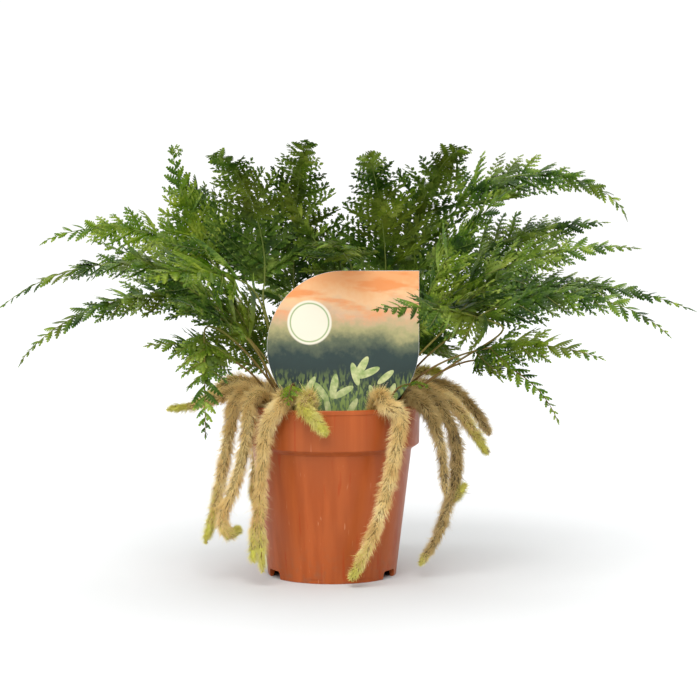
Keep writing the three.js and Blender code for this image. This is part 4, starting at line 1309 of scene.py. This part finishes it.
def stem(soup, frond):
    """The stipe and the rachis as one tapering tube."""
    low, _ = bezier(frond.stipe, np.linspace(0, 1, 22))
    high, _ = bezier(frond.blade, np.linspace(0, 1, 42))
    taper = np.linspace(STIPE_RADIUS[1], RACHIS_TIP_RADIUS, 42)
    radii = np.append(np.linspace(*STIPE_RADIUS, 21), taper)
    tube(soup, np.vstack([low[:-1], high]), radii, 8, STEM)


def curl(soup, foliage, frond, tone, rng):
    """A spiral that goes on from the blade's end, to the right of its front, with small leaflets."""
    t = np.linspace(0, 1, 40)
    point, tangent = (rows[0] for rows in frond.frames(np.array([BLADE_END]))[:2])
    right = unit(np.cross(BACK, tangent))
    up = np.cross(right, BACK)
    angle = 2 * math.pi * CURL["turns"] * t
    out = up * np.sin(angle)[:, None] - right * np.cos(angle)[:, None]
    points = point + right * CURL["radius"] + out * (CURL["radius"] * (1 - 0.8 * t))[:, None]
    tube(soup, points, np.linspace(*CURL["thickness"], len(t)), 6, STEM)
    chosen = np.linspace(0, len(t) - 8, CURL["leaflets"]).astype(int)
    size = CURL["leaflet"] * (1 - 0.4 * t[chosen])
    ahead = unit(np.gradient(points, axis=0))[chosen]
    normals = unit(rng.normal((0.0, -1.0, 0.3), 0.35, (len(chosen), 3)))
    axes = unit(out[chosen] + 0.5 * ahead)
    foliage.add(points[chosen], axes, normals, size, 0.34 * size, 1.0, tone)


def blade(soup, foliage, frond, bends, width, shares, rng):
    """Fine pinnae, more than the CAD's and bent as the nearest of its own."""
    pairs = round(frond.length / (PINNA_SPACING * (0.62 + width / 90)))
    gaps = np.diff(along((np.arange(pairs + 1) + 0.5) / pairs)) * frond.length
    for hand, rows in bends.items():
        places, lifts, stretches = rows.T
        for t, gap in zip(pinna_places(hand, pairs), gaps):
            lift = np.interp(t, places, lifts) + PINNA_TILT * rng.standard_normal()
            bend = (lift, np.interp(t, places, stretches))
            pinna = Pinna(frond, hand, min(t, BLADE_END), width, bend)
            pinna.twist(np.radians(rng.normal(*PINNA_TWIST)))
            tone = rng.choice(UNDER, p=shares)
            dress_pinna(pinna, gap, tone, foliage, soup, rng)


def make_frond(index, spec, paints):
    name, root, crown, tip, arch, roll, width, pairs = spec
    node = f"frond_{name}"
    rng = np.random.default_rng(100 + index)
    frond = Frond(root, crown, tip, arch, roll)
    young = any(word in name for word in YOUNG)
    shares = YOUNG_TONES if young else TONES[index % len(TONES)]
    soup, foliage = Soup(), Foliage()
    stem(soup, frond)
    blade(soup, foliage, frond, cad_bends(frond, node, width, pairs), width, shares, rng)
    point, tangent, _, normal = frond.frames(np.array([LAST_LEAFLET]))
    foliage.add(point, tangent, normal, np.array([0.06 * frond.length]), np.array([0.9]), 1.0, 1)
    if "crozier" in name:
        curl(soup, foliage, frond, 1, rng)
    foliage.draw(soup, rng)
    kinds = YOUNG_PAINTS if young else OLD_PAINTS
    piece = soup.piece(f"{node}_fine", [paints[kind] for kind in kinds])
    stand_for(piece, node)


def make_fronds():
    paints = {kind: leaf_paint(f"leaf_{kind}", *looks) for kind, looks in LEAF_PAINTS.items()}
    paints["stem"] = stipe_paint()
    for index, spec in enumerate(FRONDS):
        make_frond(index, spec, paints)


# ---- Scene ----

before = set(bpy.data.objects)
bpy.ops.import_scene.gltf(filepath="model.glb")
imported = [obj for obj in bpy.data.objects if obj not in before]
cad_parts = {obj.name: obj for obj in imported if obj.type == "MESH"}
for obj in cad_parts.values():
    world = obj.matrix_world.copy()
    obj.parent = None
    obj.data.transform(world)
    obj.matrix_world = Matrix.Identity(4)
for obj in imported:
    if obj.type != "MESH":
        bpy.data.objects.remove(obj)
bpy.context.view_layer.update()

make_camera()
make_surroundings()
make_lights()
make_floor()
make_pot()
make_soil(soil_paint())
make_label()
make_rhizomes()
make_fronds()
